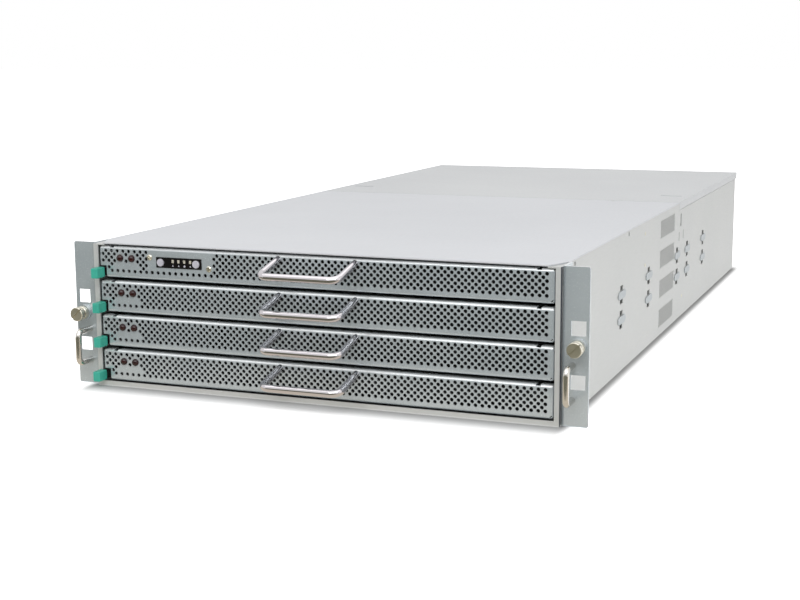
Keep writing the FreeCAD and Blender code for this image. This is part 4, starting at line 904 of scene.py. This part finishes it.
mainsInlet = {
    "x": 191.4, "width": 23.8, "height": 15.8, "depth": 14.6, "proud": 0.4, "wall": 1.4, "well": 12.5,
    "pin": (2.0, 4.0, 9.0), "pinPitch": 7.0, "pinRise": (-1.0, 2.0, -1.0), "pinEdge": 0.4, "segments": 2,
}


def mainsInletInsert(node):
    low, high = (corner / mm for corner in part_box(node))
    centre = (low.z + high.z) / 2
    halfW, halfH = mainsInlet["width"] / 2, mainsInlet["height"] / 2
    x = mainsInlet["x"]
    shell = block((x - halfW, rearY - mainsInlet["depth"], centre - halfH),
                  (x + halfW, rearY + mainsInlet["proud"], centre + halfH))
    pick(shell, "FACE", lambda f: f.normal.y > square)
    sinkPicked(mainsInlet["wall"], mainsInlet["well"])
    wide, tall, long = mainsInlet["pin"]
    back = rearY - mainsInlet["well"]
    pins = []
    for i, rise in zip((-1, 0, 1), mainsInlet["pinRise"]):
        px, pz = x + i * mainsInlet["pinPitch"], centre + rise
        pin = block((px - wide / 2, back, pz - tall / 2), (px + wide / 2, back + long, pz + tall / 2))
        pick(pin, "EDGE", lambda e: all(v.co.y > (back + long - near) * mm for v in e.verts))
        bevelPicked(mainsInlet["pinEdge"], mainsInlet["segments"])
        pins.append(pin)
    return shell, joined(pins)


for node, body in (("psu_1", "psu_lower"), ("psu_2", "psu_upper")):
    shell, pins = mainsInletInsert(node)
    settle(shell, f"inletShell_{node}", body, blackAbs)
    settle(pins, f"inletPins_{node}", body, bracketSteel)

connectorInsert = {
    "places": [  # X, width and height of each connector
        (-30.0, 31, 12.5), (4.0, 16, 29), (28.0, 16, 13.5), (48.0, 16, 13.5), (76.0, 31, 12.5),
    ],
    "boardTop": 8.8, "margin": 3.0, "depth": (3.2, 0.8), "corner": 0.9, "segments": 2, "wall": 0.8, "well": 1.4,
}


def connectorInserts():
    back, front = connectorInsert["depth"]
    margin, boardTop = connectorInsert["margin"], connectorInsert["boardTop"]
    inserts = []
    for x, width, height in connectorInsert["places"]:
        half = width / 2 - margin
        insert = block((x - half, rearY - back, boardTop + margin),
                       (x + half, rearY - front, boardTop + height - margin))
        pick(insert, "EDGE", lambda e: abs(e.verts[0].co.y - e.verts[1].co.y) > mm)
        bevelPicked(connectorInsert["corner"], connectorInsert["segments"])
        pick(insert, "FACE", lambda f: f.normal.y > square)
        sinkPicked(connectorInsert["wall"], connectorInsert["well"])
        inserts.append(insert)
    return joined(inserts)


settle(connectorInserts(), "connectorInserts", "chassis", blackAbs)
print("rear fittings")


# Stage: white paper floor, soft boxes, cards for the metals to mirror and the camera at the photograph's angle

white = (1, 1, 1, 1)
stageLook = {
    "floor": 40, "paper": "#F4F4F4", "rough": 0.9, "ambient": 0.42,
    "shadow": "#979797", "lift": 0.04, "shade": 0.06, "sideways": 4.0,
    "earReach": 0.022, "handleReach": 0.046,  # how far these stand out past the foot of the chassis
    "mirrorGlow": 0.74,
}
softBoxes = {  # place, target, width, height and watts
    "overhead": ((0.0, 0.75, 2.3), (0.0, 0.4, 0.0), 2.6, 2.6, 14),
    "rightSide": ((2.3, 0.1, 0.9), (0.2, 0.4, 0.05), 1.8, 1.8, 2.5),
    "frontStrip": ((0.4, -1.2, 1.3), (0.0, 0.0, 0.06), 2.0, 0.5, 15),
}
mirrorCards = {  # place, tilt, width, height, colour and glow, seen only in gloss
    "darkFloorCard": ((0.1, -0.88, 0.001), 0.0, 3.4, 1.54, "#7C7B6C", 1.0),
    "beigeFloorCard": ((0.1, -0.05, 0.001), 0.0, 3.4, 0.12, "#D8CFC0", 1.15),
    "darkBackCard": ((0.1, -1.66, 0.25), 1.5, 3.4, 0.5, "#7C7B6C", 1.0),
    "brightCard": ((0.0, -0.35, 1.7), 0.4, 3.2, 1.0, "#FFFFFF", 1.8),
}
photoCamera = {
    "place": (0.5106, -1.0948, 0.3018), "yaw": 21.56, "pitch": 9.93, "roll": -0.32, "lens": 64.1, "sensor": 36,
    "clip": (0.05, 60),
}


def seenRays(tree):  # 1 for what the camera, a mirror or glass sees of the background
    path = addNode(tree, "ShaderNodeLightPath").outputs
    seen = addNode(tree, "ShaderNodeMath", {
        0: path["Is Camera Ray"], 1: path["Is Glossy Ray"],
    }, operation="MAXIMUM").outputs[0]
    return addNode(tree, "ShaderNodeMath", {
        0: seen, 1: path["Is Transmission Ray"],
    }, operation="MAXIMUM").outputs[0]


def whitePaper():  # a shadow along the chassis' foot that runs out to plain white; mirrors see an even grey-white
    material, tree = newMaterial("whitePaper")
    place = addNode(tree, "ShaderNodeTexCoord").outputs["Object"]
    centre = (cadLow + cadHigh) / 2
    half = (cadHigh - cadLow) / 2
    foot = (half.x - stageLook["earReach"], half.y - stageLook["handleReach"], 0)
    fromCentre = addNode(tree, "ShaderNodeVectorMath", {
        0: place, 1: (centre.x, centre.y, 0),
    }, operation="SUBTRACT").outputs[0]
    folded = addNode(tree, "ShaderNodeVectorMath", {0: fromCentre}, operation="ABSOLUTE").outputs[0]
    past = addNode(tree, "ShaderNodeVectorMath", {0: folded, 1: foot}, operation="SUBTRACT").outputs[0]
    outside = addNode(tree, "ShaderNodeVectorMath", {0: past, 1: (0, 0, 0)}, operation="MAXIMUM").outputs[0]
    spread = addNode(tree, "ShaderNodeVectorMath", {  # narrower at the sides than in front
        0: outside, 1: (stageLook["sideways"], 1, 1),
    }, operation="MULTIPLY").outputs[0]
    distance = addNode(tree, "ShaderNodeVectorMath", {0: spread}, operation="LENGTH").outputs["Value"]
    clear = addNode(tree, "ShaderNodeMapRange", {
        "Value": distance, "From Max": stageLook["shade"],
    }, interpolation_type="SMOOTHSTEP").outputs["Result"]
    cameraRay = addNode(tree, "ShaderNodeLightPath").outputs["Is Camera Ray"]
    otherRay = addNode(tree, "ShaderNodeMath", {0: 1.0, 1: cameraRay}, operation="SUBTRACT").outputs[0]
    paperShare = addNode(tree, "ShaderNodeMath", {0: otherRay, 1: clear}, operation="MAXIMUM").outputs[0]
    tint = addNode(tree, "ShaderNodeMix", {
        0: paperShare, 6: linear(stageLook["shadow"]), 7: linear(stageLook["paper"]),
    }, data_type="RGBA").outputs[2]
    lifted = addNode(tree, "ShaderNodeMapRange", {
        "Value": clear, "To Min": stageLook["lift"], "To Max": 1.0,
    }).outputs["Result"]
    glow = addNode(tree, "ShaderNodeMapRange", {
        "Value": cameraRay, "To Min": stageLook["mirrorGlow"], "To Max": lifted,
    }).outputs["Result"]
    strength = addNode(tree, "ShaderNodeMath", {0: seenRays(tree), 1: glow}, operation="MULTIPLY").outputs[0]
    shader = addNode(tree, "ShaderNodeBsdfPrincipled", {
        "Base Color": tint, "Roughness": stageLook["rough"], "Specular IOR Level": 0.0,
        "Emission Color": white, "Emission Strength": strength,
    })
    addNode(tree, "ShaderNodeOutputMaterial", {"Surface": shader.outputs["BSDF"]})
    return material


def cardCloth(name, hexColour, strength):  # an evenly glowing card
    material, tree = newMaterial(name)
    shader = addNode(tree, "ShaderNodeEmission", {"Color": linear(hexColour), "Strength": strength})
    addNode(tree, "ShaderNodeOutputMaterial", {"Surface": shader.outputs["Emission"]})
    return material


clearSelection()
bpy.ops.mesh.primitive_plane_add(size=stageLook["floor"], location=(0, 0, 0))
floor = bpy.context.object
floor.name = "paperFloor"
floor.data.materials.append(whitePaper())

for name, (place, tilt, width, height, hexColour, glow) in mirrorCards.items():
    clearSelection()
    bpy.ops.mesh.primitive_plane_add(size=1, location=place, rotation=(tilt, 0, 0))
    card = bpy.context.object
    bpy.ops.transform.resize(value=(width, height, 1), orient_type="LOCAL")
    bpy.ops.object.transform_apply(location=True, rotation=True, scale=True)
    card.name = name
    card.data.materials.append(cardCloth(name, hexColour, glow))
    card.visible_camera = card.visible_diffuse = card.visible_shadow = card.visible_transmission = False

world = bpy.data.worlds.new("studio")
world.use_nodes = True
world.node_tree.nodes.clear()
strength = addNode(world.node_tree, "ShaderNodeMapRange", {
    "Value": seenRays(world.node_tree), "To Min": stageLook["ambient"], "To Max": 1.0,
}).outputs["Result"]
sky = addNode(world.node_tree, "ShaderNodeBackground", {"Color": white, "Strength": strength})
addNode(world.node_tree, "ShaderNodeOutputWorld", {"Surface": sky.outputs["Background"]})
bpy.context.scene.world = world

for name, (place, target, width, height, watts) in softBoxes.items():
    lamp = bpy.data.lights.new(name, "AREA")
    lamp.shape = "RECTANGLE"
    lamp.size, lamp.size_y = width, height
    lamp.energy = watts
    holder = bpy.data.objects.new(name, lamp)
    bpy.context.scene.collection.objects.link(holder)
    holder.location = place
    holder.rotation_euler = (Vector(target) - Vector(place)).to_track_quat("-Z", "Y").to_euler()

camera = bpy.data.objects.new("photoCamera", bpy.data.cameras.new("photoCamera"))
bpy.context.scene.collection.objects.link(camera)
camera.data.lens = photoCamera["lens"]
camera.data.sensor_width = photoCamera["sensor"]
camera.data.clip_start, camera.data.clip_end = photoCamera["clip"]
turnMatrix = (
    Matrix.Rotation(math.radians(photoCamera["yaw"]), 4, "Z")
    @ Matrix.Rotation(math.radians(90 - photoCamera["pitch"]), 4, "X")
    @ Matrix.Rotation(math.radians(photoCamera["roll"]), 4, "Z")
)
camera.matrix_world = Matrix.Translation(photoCamera["place"]) @ turnMatrix
bpy.context.scene.camera = camera
bpy.context.scene.view_settings.view_transform = "Standard"
print("stage, light and camera")
